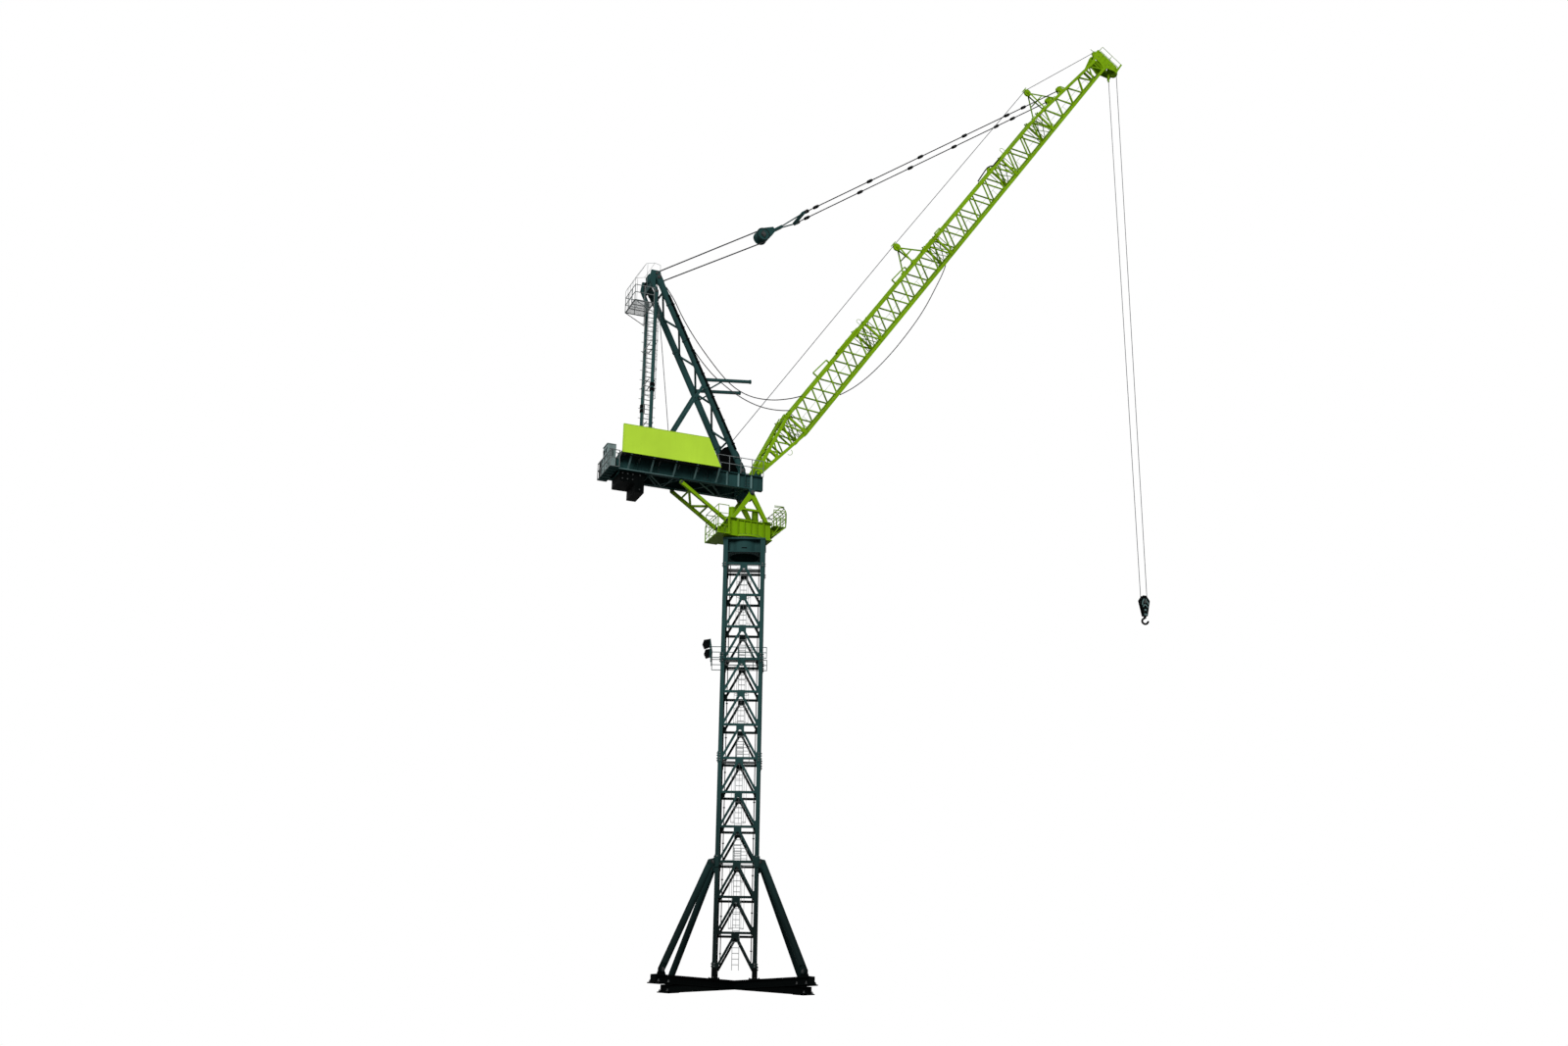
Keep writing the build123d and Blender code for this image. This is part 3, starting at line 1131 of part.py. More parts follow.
def head_sheaves():
    pieces = []
    for y in head_sheave_places():
        wheel = sheave(HEAD_SHEAVE / 2, HEAD_AXLE + PIN_PLAY, SHEAVE_WIDTH)
        pieces.append(Pos(FRAME_HEAD - HEAD_AXLE_BACK, y, FRAME_HEAD_Z + HEAD_AXLE_RISE) * wheel)
    return solids(*pieces)


def head_platform():
    """A railed landing behind the A-frame's head, at the top of the ladder."""
    front = REAR_LEG_X - REAR_LEG / 2 - SEAT
    rear = front - HEAD_PLATFORM_DEPTH
    z = FRAME_HEAD_Z - HEAD_PLATFORM_DROP
    half = GIRDER_Y + REAR_LEG / 2
    sheet = Pos((rear + front) / 2, 0) * Rectangle(HEAD_PLATFORM_DEPTH, 2 * half)
    bay = (2 * half - HEAD_PLATFORM_BAR) / HEAD_PLATFORM_BAYS
    opening = Rectangle(HEAD_PLATFORM_DEPTH - 2 * HEAD_PLATFORM_BAR, bay - HEAD_PLATFORM_BAR)
    for index in range(HEAD_PLATFORM_BAYS):
        sheet -= Pos((rear + front) / 2, (index - (HEAD_PLATFORM_BAYS - 1) / 2) * bay) * opening
    floor = Pos(0, 0, z) * extrude(sheet, amount=GALLERY_THICK)
    top = z + GALLERY_THICK
    floor += Pos(rear + RAIL_BAR / 2, -half, top) * Rot(0, 0, 90) * railing(2 * half, RAIL_HEIGHT, 4)
    for side in SIDES:
        rail = railing(HEAD_PLATFORM_DEPTH + REAR_LEG / 2 - REAR_LEG_EYE - SEAT, RAIL_HEIGHT, 3)
        floor += Pos(rear, side * (half - RAIL_BAR / 2), top) * rail
        y = side * (half - RAIL_BAR)
        floor += bar(point(front, y, z - HEAD_PLATFORM_DEPTH / 2),
                     point(rear + RAIL_BAR, y, z + RAIL_BAR / 4), RAIL_BAR)
        floor += box((front - RAIL_BAR, y - RAIL_BAR / 2, z - HEAD_PLATFORM_DEPTH / 2),
                     (front, y + RAIL_BAR / 2, z + RAIL_BAR / 4))
    return floor


def frame_ladder():
    """The ladder between the rear legs, from the deck to the landing, tied to both legs."""
    foot = GIRDER_TOP + SEAT
    height = FRAME_HEAD_Z - HEAD_PLATFORM_DROP - foot
    climb = ladder(height)
    reach = GIRDER_Y - REAR_LEG / 2 - SEAT
    for share in LADDER_TIES:
        level = round(share * height / LADDER_RUNG_PITCH) * LADDER_RUNG_PITCH
        for side in SIDES:
            stile = side * (LADDER_WIDTH - LADDER_RUNG) / 2
            climb += bar(point(stile, -reach, level), point(stile, reach, level), LADDER_RUNG, LADDER_STILE)
    return Pos(REAR_LEG_X, 0, foot) * climb


# Jib, drawn along +X from its heel pins with the top chords above

def chord_bar(start, end, low, high):
    """A square chord in the XZ plane with upright ends; low and high are the Z of its axis."""
    half = JIB_CHORD / 2
    outline = [(start, low - half), (end, high - half), (end, high + half), (start, low + half)]
    return slab(profile(outline), JIB_CHORD)


def laced_face(start, end, bays):
    """A zigzag between the two sides of the jib, its middle line given by the X and Z of its ends."""
    run, rise = end[0] - start[0], end[1] - start[1]
    panel = zigzag_panel(hypot(run, rise) - 2 * JIB_BAR, JIB_WIDTH - JIB_CHORD - 2 * SEAT, bays, JIB_BAR,
                         JIB_BAR_THICK, JIB_SPILL)
    return Pos(start[0], 0, start[1]) * Rot(0, -degrees(atan2(rise, run)), 0) * Pos(JIB_BAR, 0, 0) * panel


def jib_heel():
    """Two heel plates with a window, the laced chords from them to the first section, and the lacing across."""
    half = JIB_CHORD / 2
    share = HEEL_SOLID / HEEL_LENGTH
    high = HEEL_EYE - half + share * (JIB_TOP + half - HEEL_EYE)
    low = half - HEEL_EYE + share * (JIB_BOTTOM - half + HEEL_EYE)
    face = Polygon((0, HEEL_EYE), (HEEL_SOLID, high + half), (HEEL_SOLID, low - half), (0, -HEEL_EYE),
                   align=None)
    face += Circle(HEEL_EYE)
    slim = HEEL_WINDOW / HEEL_SOLID
    window = inset([(HEEL_WINDOW, slim * high), (HEEL_SOLID, high), (HEEL_SOLID, low),
                    (HEEL_WINDOW, slim * low)], half)
    face -= fillet(window.vertices(), half)
    side_frame = slab(Plane.XZ * face, HEEL_PLATE)
    side_frame += slab(Plane.XZ * Circle(HEEL_PIN), HEEL_PLATE + 4 * SEAT + 3 * HEEL_CHEEK)
    length = HEEL_LENGTH - HEEL_SOLID
    sheet = Polygon((0, low), (length, JIB_BOTTOM), (length, JIB_TOP), (0, high), align=None)
    sheet -= zigzag_holes(length, (low, JIB_BOTTOM), (high, JIB_TOP), HEEL_BAYS, JIB_BAR, 0)
    laced = slab(Plane.XZ * sheet, JIB_BAR_THICK)
    laced += chord_bar(0, length, low, JIB_BOTTOM) + chord_bar(0, length, high, JIB_TOP)
    side_frame += Pos(HEEL_SOLID, 0, 0) * laced
    pieces = [Pos(0, side * JIB_Y, 0) * side_frame for side in SIDES]
    pieces.append(laced_face((HEEL_SOLID, high), (HEEL_LENGTH, JIB_TOP), HEEL_BAYS))
    pieces.append(laced_face((HEEL_SOLID, low), (HEEL_LENGTH, JIB_BOTTOM), HEEL_BAYS))
    return solids(*pieces)


def jib_section(index):
    """A length of jib: a trussed frame on each side and the zigzags let in above and below."""
    bays = JIB_SECTION_BAYS[index]
    start = HEEL_LENGTH + sum(JIB_SECTION_BAYS[:index]) * JIB_BAY + SEAT
    length = bays * JIB_BAY - SEAT
    frame = Rot(90, 0, 0) * zigzag_panel(length, JIB_DEPTH, bays, JIB_BAR, JIB_BAR_THICK, 0)
    for side in SIDES:
        frame += chord_bar(0, length, side * JIB_DEPTH / 2, side * JIB_DEPTH / 2)
    panel = zigzag_panel(length, JIB_WIDTH - JIB_CHORD - 2 * SEAT, bays, JIB_BAR, JIB_BAR_THICK, JIB_SPILL)
    pieces = [Pos(0, side * JIB_Y, 0) * frame for side in SIDES]
    pieces += [Pos(0, 0, side * JIB_DEPTH / 2) * panel for side in SIDES]
    return solids(*[Pos(start, 0, JIB_OFFSET) * piece for piece in pieces])


def tip_top_at(x):
    """The Z of the tip section's top chord at a distance from the heel pin."""
    return JIB_TOP + (TIP_TOP - JIB_TOP) * (x - TIP_START) / TIP_LENGTH


def jib_tip():
    """The last length of jib, its top chords sloping down to the head, with the tie lugs on them."""
    length = TIP_LENGTH - SEAT
    sheet = Polygon((0, JIB_BOTTOM), (length, JIB_BOTTOM), (length, TIP_TOP), (0, JIB_TOP), align=None)
    holes = zigzag_holes(length, (JIB_BOTTOM, JIB_BOTTOM), (JIB_TOP, TIP_TOP), TIP_BAYS, JIB_BAR, 0)
    frame = slab(Plane.XZ * (sheet - holes), JIB_BAR_THICK)
    frame += chord_bar(0, length, JIB_BOTTOM, JIB_BOTTOM) + chord_bar(0, length, JIB_TOP, TIP_TOP)
    ear = lug(2 * TIE_EYE, TIE_ANCHOR_RISE, TIE_EYE, TIE_PIN, TIE_LUG)
    frame += Pos(TIE_ANCHOR - TIP_START, 0, tip_top_at(TIE_ANCHOR)) * ear
    pieces = [Pos(0, side * JIB_Y, 0) * frame for side in SIDES]
    pieces.append(laced_face((0, JIB_BOTTOM), (length, JIB_BOTTOM), TIP_BAYS))
    pieces.append(laced_face((0, JIB_TOP), (length, TIP_TOP), TIP_BAYS))
    return solids(*[Pos(TIP_START + SEAT, 0, 0) * piece for piece in pieces])


def jib_head():
    """A frame across the tip, and two cheeks with a band between the axles of crown and nose sheave."""
    half_chord = JIB_CHORD / 2
    low, high = JIB_BOTTOM - half_chord, TIP_TOP + half_chord
    start = TIP_END + SEAT
    edge = JIB_Y + half_chord
    head = box((start, -edge, low), (start + HEAD_WALL, edge, high))
    head -= box((start, JIB_CHORD - edge, low + JIB_CHORD),
                (start + HEAD_WALL, edge - JIB_CHORD, high - JIB_CHORD))
    rim = 1.2 * SHEAVE_PIN
    front = NOSE[0] + 2.5 * rim
    back = front - HEAD_BAND
    outline = [(start, high), (CROWN[0] - 2 * rim, CROWN[1] + 2 * rim), (CROWN[0] + rim, CROWN[1] + 2 * rim),
               (front, CROWN[1] - rim), (front, NOSE[1] + rim), (NOSE[0] + rim, NOSE[1] - 2 * rim),
               (NOSE[0] - 3 * rim, NOSE[1] - 2 * rim), (back, low - rim), (start, low)]
    window = inset([(start + HEAD_WALL, high), (back, high), (back, (low + high) / 2),
                    (back - 2 * rim, low), (start + HEAD_WALL, low)], half_chord)
    face = profile(outline) - Plane.XZ * window
    for side in SIDES:
        head += Pos(0, side * HEAD_HALF, 0) * slab(face, HEAD_WALL)
    for x in (back, front - 2 * HEAD_WALL):
        head += box((x, -HEAD_HALF, NOSE[1] + NOSE_SHEAVE + rim),
                    (x + HEAD_WALL, HEAD_HALF, CROWN[1] - TOP_SHEAVE - rim))
    for x, z in (NOSE, CROWN):
        head += slab(Plane.XZ * Pos(x, z) * Circle(SHEAVE_PIN), 2 * HEAD_HALF)
        for side in SIDES:
            collar = slab(Plane.XZ * Pos(x, z) * Circle(1.6 * SHEAVE_PIN), HEAD_HALF - SHEAVE_WIDTH / 2 - SEAT)
            head += Pos(0, side * (HEAD_HALF + SHEAVE_WIDTH / 2 + SEAT) / 2, 0) * collar
    return head


def chord_face(x):
    """The level of the top chords' upper face at a distance from the heel pin."""
    return (JIB_TOP if x < TIP_START else tip_top_at(x)) + JIB_CHORD / 2


def guide_frame(place):
    """Four braced legs from the top chords up to the cheeks that carry a guide sheave."""
    shift = SHEAVE_WIDTH / 2 + SEAT + GUIDE_PLATE / 2
    frame = slab(Plane.XZ * Pos(place, GUIDE_APEX) * Circle(SHEAVE_PIN), 2 * shift + GUIDE_PLATE)
    for side in SIDES:
        cheek = Plane.XZ * Pos(place, GUIDE_APEX - GUIDE_BAR) * Rectangle(2 * GUIDE_BAR, 4 * GUIDE_BAR)
        frame += Pos(0, side * shift, 0) * slab(cheek, GUIDE_PLATE)
        for end in SIDES:
            x = place + end * GUIDE_SPREAD / 2
            level = chord_face(x - 1.5 * GUIDE_BAR) + SEAT
            pad = Box(3 * GUIDE_BAR, JIB_CHORD, GUIDE_PAD, align=(Align.CENTER, Align.CENTER, Align.MIN))
            frame += Pos(x, side * JIB_Y, level) * pad
            foot = point(x, side * JIB_Y, level + GUIDE_PAD / 2)
            head = point(place, side * (SHEAVE_WIDTH / 2 + SEAT + GUIDE_BAR), GUIDE_APEX - 2 * GUIDE_BAR)
            frame += bar(foot, head, GUIDE_BAR)
    reach = (JIB_Y + SHEAVE_WIDTH / 2 + GUIDE_BAR) / 2
    level = (chord_face(place) + GUIDE_APEX - 2 * GUIDE_BAR) / 2
    for side in SIDES:
        frame += bar(point(place - GUIDE_SPREAD / 4, side * reach, level),
                     point(place + GUIDE_SPREAD / 4, side * reach, level), 0.7 * GUIDE_BAR)
        frame += bar(point(place + side * GUIDE_SPREAD / 4, -reach, level),
                     point(place + side * GUIDE_SPREAD / 4, reach, level), 0.7 * GUIDE_BAR)
    return frame


def guide_frames():
    return solids(*[guide_frame(place) for place in GUIDE_PLACES])


def jib_sheave(place, radius):
    """A sheave of the hoist rope on the jib."""
    return Pos(place[0], 0, place[1]) * sheave(radius, SHEAVE_PIN + PIN_PLAY, SHEAVE_WIDTH)


# Luffing tie, drawn with the jib that it hangs from

def tie_line():
    """The anchor's pin on the jib and the direction of the tie, which sags a little from the head axle."""
    anchor = point(TIE_ANCHOR + SEAT, 0, tip_top_at(TIE_ANCHOR) + TIE_ANCHOR_RISE)
    axle = point(FRAME_HEAD - HEAD_AXLE_BACK - HEEL_X, 0, FRAME_HEAD_Z + HEAD_AXLE_RISE - HEEL_Z)
    straight = (axle.rotate(Axis.Y, JIB_ANGLE) - anchor).normalized()
    droop = straight.cross(ACROSS) * (TIE_SAG / (PENDANT_LENGTH + BLOCK_LINK))
    return anchor, (straight + droop).normalized()


def pendants():
    """Two lines of tie bars with their couplers, from the jib to the spreader."""
    anchor, run = tie_line()
    pieces = []
    for side in SIDES:
        start = anchor + ACROSS * (side * JIB_Y)
        line = pinned_strut(start, start + run * PENDANT_LENGTH, ACROSS, PENDANT, TIE_EYE, TIE_PIN,
                            TIE_LUG, TIE_CHEEK)
        for share in PENDANT_JOINTS:
            middle = start + run * (share * PENDANT_LENGTH)
            line += bar(middle - run * COUPLER_LENGTH / 2, middle + run * COUPLER_LENGTH / 2, COUPLER)
        pieces.append(line)
    return solids(*pieces)


def on_tie(distance, shape):
    """Place a piece drawn along +X at a distance from the anchors towards the A-frame."""
    anchor, run = tie_line()
    plane = Plane(origin=anchor + run * distance, x_dir=run, z_dir=run.cross(ACROSS))
    return plane.location * shape


def tie_spreader():
    """The beam that spreads the two pendants, and the bridle that gathers them to the floating block."""
    beam = box((TIE_EYE * 1.4, -JIB_Y - TIE_LUG / 2, -TIE_EYE), (TIE_EYE * 2.4, JIB_Y + TIE_LUG / 2, TIE_EYE))
    for side in SIDES:
        ear = lug(TIE_EYE, 1.6 * TIE_EYE, TIE_EYE, TIE_PIN, TIE_LUG)
        beam += Pos(1.6 * TIE_EYE, side * JIB_Y, 0) * Rot(0, -90, 0) * ear
        beam += bar(point(2 * TIE_EYE, side * JIB_Y, 0), point(BRIDLE, side * COUPLER / 2, 0), PENDANT)
    link = box((BRIDLE - COUPLER, -COUPLER, -COUPLER / 2), (BLOCK_LINK - SEAT, COUPLER, COUPLER / 2))
    return on_tie(PENDANT_LENGTH, beam + link)


def floating_block():
    """The sheave block of the luffing rope: two plates, an end plate and the sheaves between them."""
    half = TIE_BLOCK_WIDTH / 2
    axle = BLOCK_AXLE_SHARE * TIE_BLOCK
    face = profile([(0, -COUPLER), (axle, -TIE_BLOCK_HEIGHT / 2), (axle, TIE_BLOCK_HEIGHT / 2), (0, COUPLER)])
    face += Plane.XZ * Pos(axle, 0) * Circle(TIE_BLOCK_HEIGHT / 2)
    block = box((0, -half, -COUPLER), (HEAD_WALL, half, COUPLER))
    for side in SIDES:
        block += Pos(0, side * (half - HEAD_WALL / 2), 0) * slab(face, HEAD_WALL)
    block += slab(Plane.XZ * Pos(axle, 0) * Circle(TIE_BLOCK_HEIGHT / 2 - HEAD_WALL), TIE_BLOCK_WIDTH)
    return on_tie(PENDANT_LENGTH + BLOCK_LINK, block)


# Ropes

def luffing_rope_falls():
    """The falls between the A-frame's head sheaves and the floating block."""
    anchor, run = tie_line()
    centre = anchor + run * (PENDANT_LENGTH + BLOCK_LINK + BLOCK_AXLE_SHARE * TIE_BLOCK)
    block = (*lifted(centre.X, centre.Z), TIE_BLOCK_HEIGHT / 2 - HEAD_WALL + ROPE / 2 + SEAT)
    axle = (FRAME_HEAD - HEAD_AXLE_BACK, FRAME_HEAD_Z + HEAD_AXLE_RISE, rope_radius(HEAD_SHEAVE / 2))
    falls = []
    for y in head_sheave_places():
        for side in SIDES:
            falls.append(Pos(0, y, 0) * tube(*tangent(axle, block, side), ROPE))
    return solids(*falls)


def hoist_circles():
    """The rope circles of the hoist rope in the jib's own plane, from the lower guide to the nose."""
    guides = [(place, GUIDE_APEX, rope_radius(GUIDE_SHEAVE)) for place in GUIDE_PLACES]
    return guides + [(*CROWN, rope_radius(TOP_SHEAVE)), (*NOSE, rope_radius(NOSE_SHEAVE))]


def hoist_rope_lead():
    """The hoist rope from the winch drum up to the lower guide sheave."""
    x, z, radius = hoist_circles()[0]
    drum = (WINCH_CENTRE, GIRDER_TOP + WINCH_AXIS_HEIGHT, DRUM_CORE + ROPE / 2 + SEAT)
    return tube(*tangent(drum, (*lifted(x, z), radius), 1), ROPE)


def jib_hoist_rope():
    """The hoist rope along the top of the jib, from guide to guide and over the crown to the nose."""
    circles = hoist_circles()
    return solids(*[tube(*tangent(first, second, 1), ROPE) for first, second in zip(circles, circles[1:])])


def cable_tube(points):
    """A slack cable of straight runs joined by arcs as large as the runs allow."""
    points = [point(*place) for place in points]
    radii = []
    for before, corner, after in zip(points, points[1:], points[2:]):
        half_turn = radians((corner - before).get_angle(after - corner)) / 2
        shorter = min((corner - before).length, (after - corner).length)
        radii.append(CABLE_BEND * shorter / tan(half_turn))
    print("cable radii", [round(radius) for radius in radii])
    path = FilletPolyline(*points, radius=radii)
    print("cable length", round(path.length))
    return sweep(span_plane(points[0], points[1]) * Circle(CABLE / 2), path=path)


def frame_cable():
    return cable_tube(FRAME_CABLE)


def loop_cable():
    return cable_tube(LOOP_CABLE)


def jib_cable():
    return cable_tube([(x, -JIB_Y, z) for x, z in JIB_CABLE])


# Hook block, drawn with its sheave's centre at the origin

def hook_falls():
    """The two parts of the hoist rope between the nose sheave and the block's sheave."""
    high, low = rope_radius(NOSE_SHEAVE), rope_radius(BLOCK_SHEAVE)
    return solids(*[tube(point(side * high, 0, HOOK_DROP), point(side * low, 0, 0), ROPE) for side in SIDES])


def hook_block():
    """Two plates on an axle, with the housing between their feet that the hook turns in."""
    gap = SHEAVE_WIDTH / 2 + SEAT
    outline = [(-BLOCK_CROWN, BLOCK_UP), (BLOCK_CROWN, BLOCK_UP), (BLOCK_HALF, BLOCK_SHOULDER),
               (BLOCK_FOOT, -BLOCK_DOWN), (-BLOCK_FOOT, -BLOCK_DOWN), (-BLOCK_HALF, BLOCK_SHOULDER)]
    block = slab(Plane.XZ * Circle(SHEAVE_PIN), 2 * (gap + BLOCK_PLATE))
    for side in SIDES:
        block += Pos(0, side * (gap + BLOCK_PLATE / 2), 0) * slab(profile(outline), BLOCK_PLATE)
    housing = box((-BLOCK_FOOT, -gap, -BLOCK_DOWN), (BLOCK_FOOT, gap, HOUSING_HEIGHT - BLOCK_DOWN))
    bore = Cylinder(HOOK_SHANK + PIN_PLAY, 2 * HOUSING_HEIGHT)
    return block + housing - Pos(0, 0, HOUSING_HEIGHT / 2 - BLOCK_DOWN) * bore


def hook():
    """A shank with its nut above the housing, a collar below it and the open ring of the hook."""
    base = Align.CENTER, Align.CENTER, Align.MIN
    ring_z = -BLOCK_DOWN - HOOK_NECK - HOOK_RING
    shank = Pos(0, 0, ring_z + HOOK_RING) * Cylinder(HOOK_SHANK, HOOK_NECK + HOUSING_HEIGHT + SEAT, align=base)
    nut = Pos(0, 0, HOUSING_HEIGHT - BLOCK_DOWN + SEAT) * Cylinder(HOOK_NUT, HOOK_NUT_HEIGHT, align=base)
    neck = Pos(0, 0, ring_z + HOOK_RING) * Cylinder(HOOK_COLLAR, HOOK_NECK - SEAT, align=base)
    section = Plane.YZ * Pos(0, HOOK_RING) * Circle(HOOK_BAR)
    ring = revolve(section, Axis.Y, revolution_arc=-270)
    return shank + nut + neck + Pos(0, 0, ring_z) * ring


def hung(shape):
    """Hang a piece drawn about the block's axle below the nose of the slewed jib."""
    x, z = lifted(*NOSE)
    return slewed(Pos(x, 0, z - HOOK_DROP) * shape)


def hung_square(shape):
    """Hang a piece below the nose without turning it from X and Y."""
    x, z = lifted(*NOSE)
    turn = radians(SLEW_REST)
    return Pos(x * cos(turn), x * sin(turn), z - HOOK_DROP) * shape


# The nodes of the crane

def tower_nodes():
    nodes = {
        "cross_base": solids(cross_base(), mast_pedestals()),
        "base_struts": solids(corners(base_strut()), corners(strut_bracket())),
        "mast_ladders": mast_ladders(),
        "mast_landings": landings(),
        "lamp_gallery": lamp_gallery(),
        "floodlights": floodlights(),
        "slew_support": slew_support(),
        "slewing_ring": slewing_ring(),
    }
    for index in range(MAST_SECTIONS):
        nodes[f"mast_section_{index + 1}"] = mast_section(index)
    return nodes


def upperworks_nodes():
    nodes = {
        "slewing_platform": slewing_platform(),
        "slewing_galleries": slewing_galleries(),
        "support_legs": support_legs(),
        "raking_struts": raking_struts(),
        "deck_girder_right": deck_girder(-1),
        "deck_girder_left": deck_girder(1),
        "deck_cross_beams": deck_cross_beams(),
        "deck_gratings": deck_gratings(),
        "side_panel": side_panel(),
        "deck_railings": deck_railings(),
        "counterweights": counterweights(),
        "tail_platform": tail_platform(),
        "tail_cabinets": tail_cabinets(),
        "hoist_winch": winch_frame(WINCH_CENTRE, -1),
        "hoist_drum": winch_drum(WINCH_CENTRE),
        "luffing_winch": solids(winch_frame(LUFF_WINCH_CENTRE, 1), winch_drum(LUFF_WINCH_CENTRE)),
        "frame_front_legs": frame_front_legs(),
        "frame_rear_legs": frame_rear_legs(),
        "frame_stays": frame_stays(),
        "frame_bracing": frame_bracing(),
        "frame_ladder": frame_ladder(),
        "frame_head": solids(frame_head(), head_sheaves()),
        "head_platform": head_platform(),
        "backstops": backstops(),
        "luffing_rope_falls": luffing_rope_falls(),
        "hoist_rope_lead": hoist_rope_lead(),
        "frame_cable": frame_cable(),
        "loop_cable": loop_cable(),
    }
    return {name: slewed(shape) for name, shape in nodes.items()}


def jib_nodes():
    nodes = {
        "jib_heel": jib_heel(),
        "jib_tip": jib_tip(),
        "jib_head": jib_head(),
        "guide_frames": guide_frames(),
        "guide_sheave_lower": jib_sheave((GUIDE_PLACES[0], GUIDE_APEX), GUIDE_SHEAVE),
        "guide_sheave_upper": jib_sheave((GUIDE_PLACES[1], GUIDE_APEX), GUIDE_SHEAVE),
        "crown_sheave": jib_sheave(CROWN, TOP_SHEAVE),
        "nose_sheave": jib_sheave(NOSE, NOSE_SHEAVE),
        "pendants": pendants(),
        "floating_block": solids(tie_spreader(), floating_block()),
        "jib_hoist_rope": jib_hoist_rope(),
        "jib_cable": jib_cable(),
    }
    for index in range(len(JIB_SECTION_BAYS)):
        nodes[f"jib_section_{index + 1}"] = jib_section(index)
    return {name: luffed(shape) for name, shape in nodes.items()}


def hook_nodes():
    return {
        "hook_falls": hung(hook_falls()),
        "hook_block": hung(hook_block()),
        "block_sheave": hung(sheave(BLOCK_SHEAVE, SHEAVE_PIN + PIN_PLAY, SHEAVE_WIDTH)),
        "hook": hung_square(hook()),
    }


os.makedirs("parts", exist_ok=True)
for name, shape in {**tower_nodes(), **upperworks_nodes(), **jib_nodes(), **hook_nodes()}.items():
    export_step(shape, f"parts/{name}.step")
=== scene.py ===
import json
from itertools import product
from math import ceil, cos, pi, radians, sin, sqrt

import bpy
from mathutils import Matrix, Vector

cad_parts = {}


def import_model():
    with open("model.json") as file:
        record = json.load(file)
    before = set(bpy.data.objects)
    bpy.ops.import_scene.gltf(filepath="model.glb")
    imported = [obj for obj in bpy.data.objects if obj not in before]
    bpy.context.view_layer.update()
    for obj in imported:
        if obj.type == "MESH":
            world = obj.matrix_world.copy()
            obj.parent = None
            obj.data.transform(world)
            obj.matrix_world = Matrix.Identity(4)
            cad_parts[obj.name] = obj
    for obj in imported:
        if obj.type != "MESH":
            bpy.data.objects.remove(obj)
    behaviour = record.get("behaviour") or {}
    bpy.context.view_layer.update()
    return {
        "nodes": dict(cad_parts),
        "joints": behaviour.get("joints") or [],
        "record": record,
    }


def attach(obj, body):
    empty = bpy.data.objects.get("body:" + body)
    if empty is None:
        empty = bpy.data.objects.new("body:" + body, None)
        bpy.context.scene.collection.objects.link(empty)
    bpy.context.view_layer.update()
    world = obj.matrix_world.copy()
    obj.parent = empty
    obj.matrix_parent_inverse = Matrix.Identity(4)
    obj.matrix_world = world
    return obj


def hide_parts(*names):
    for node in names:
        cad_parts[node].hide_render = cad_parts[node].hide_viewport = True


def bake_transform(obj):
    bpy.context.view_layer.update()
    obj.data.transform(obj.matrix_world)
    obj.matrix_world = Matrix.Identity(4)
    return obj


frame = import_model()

# The looks of a luffing tower crane, a half-size model, in metres. The tower stands square to X and Y,
# the upperworks are slewed from +X and the jib is luffed up from the deck, as the solids are.

NODES = frame["nodes"]
JOINTS = {joint["name"]: joint for joint in frame["joints"]}
SLEW_REST = radians(22.0)
JIB_ANGLE = radians(54.6)
HEEL = Vector(JOINTS["luff"]["pos_m"])
NOSE = Vector(JOINTS["nose_spin"]["pos_m"])
BLOCK = Vector(JOINTS["block_spin"]["pos_m"])
UPPER = Matrix.Rotation(SLEW_REST, 4, "Z")
JIB = Matrix.Translation(HEEL) @ UPPER @ Matrix.Rotation(-JIB_ANGLE, 4, "Y")
SIDES = (-1, 1)
X_AXIS, Y_AXIS, Z_AXIS = Vector((1, 0, 0)), Vector((0, 1, 0)), Vector((0, 0, 1))


# Mesh building

def placed(name, data):
    """A new object in the scene."""
    made = bpy.data.objects.new(name, data)
    bpy.context.scene.collection.objects.link(made)
    return made


def circle(count):
    """The cosine and sine of evenly spaced turns."""
    return [(cos(2 * pi * step / count), sin(2 * pi * step / count)) for step in range(count)]


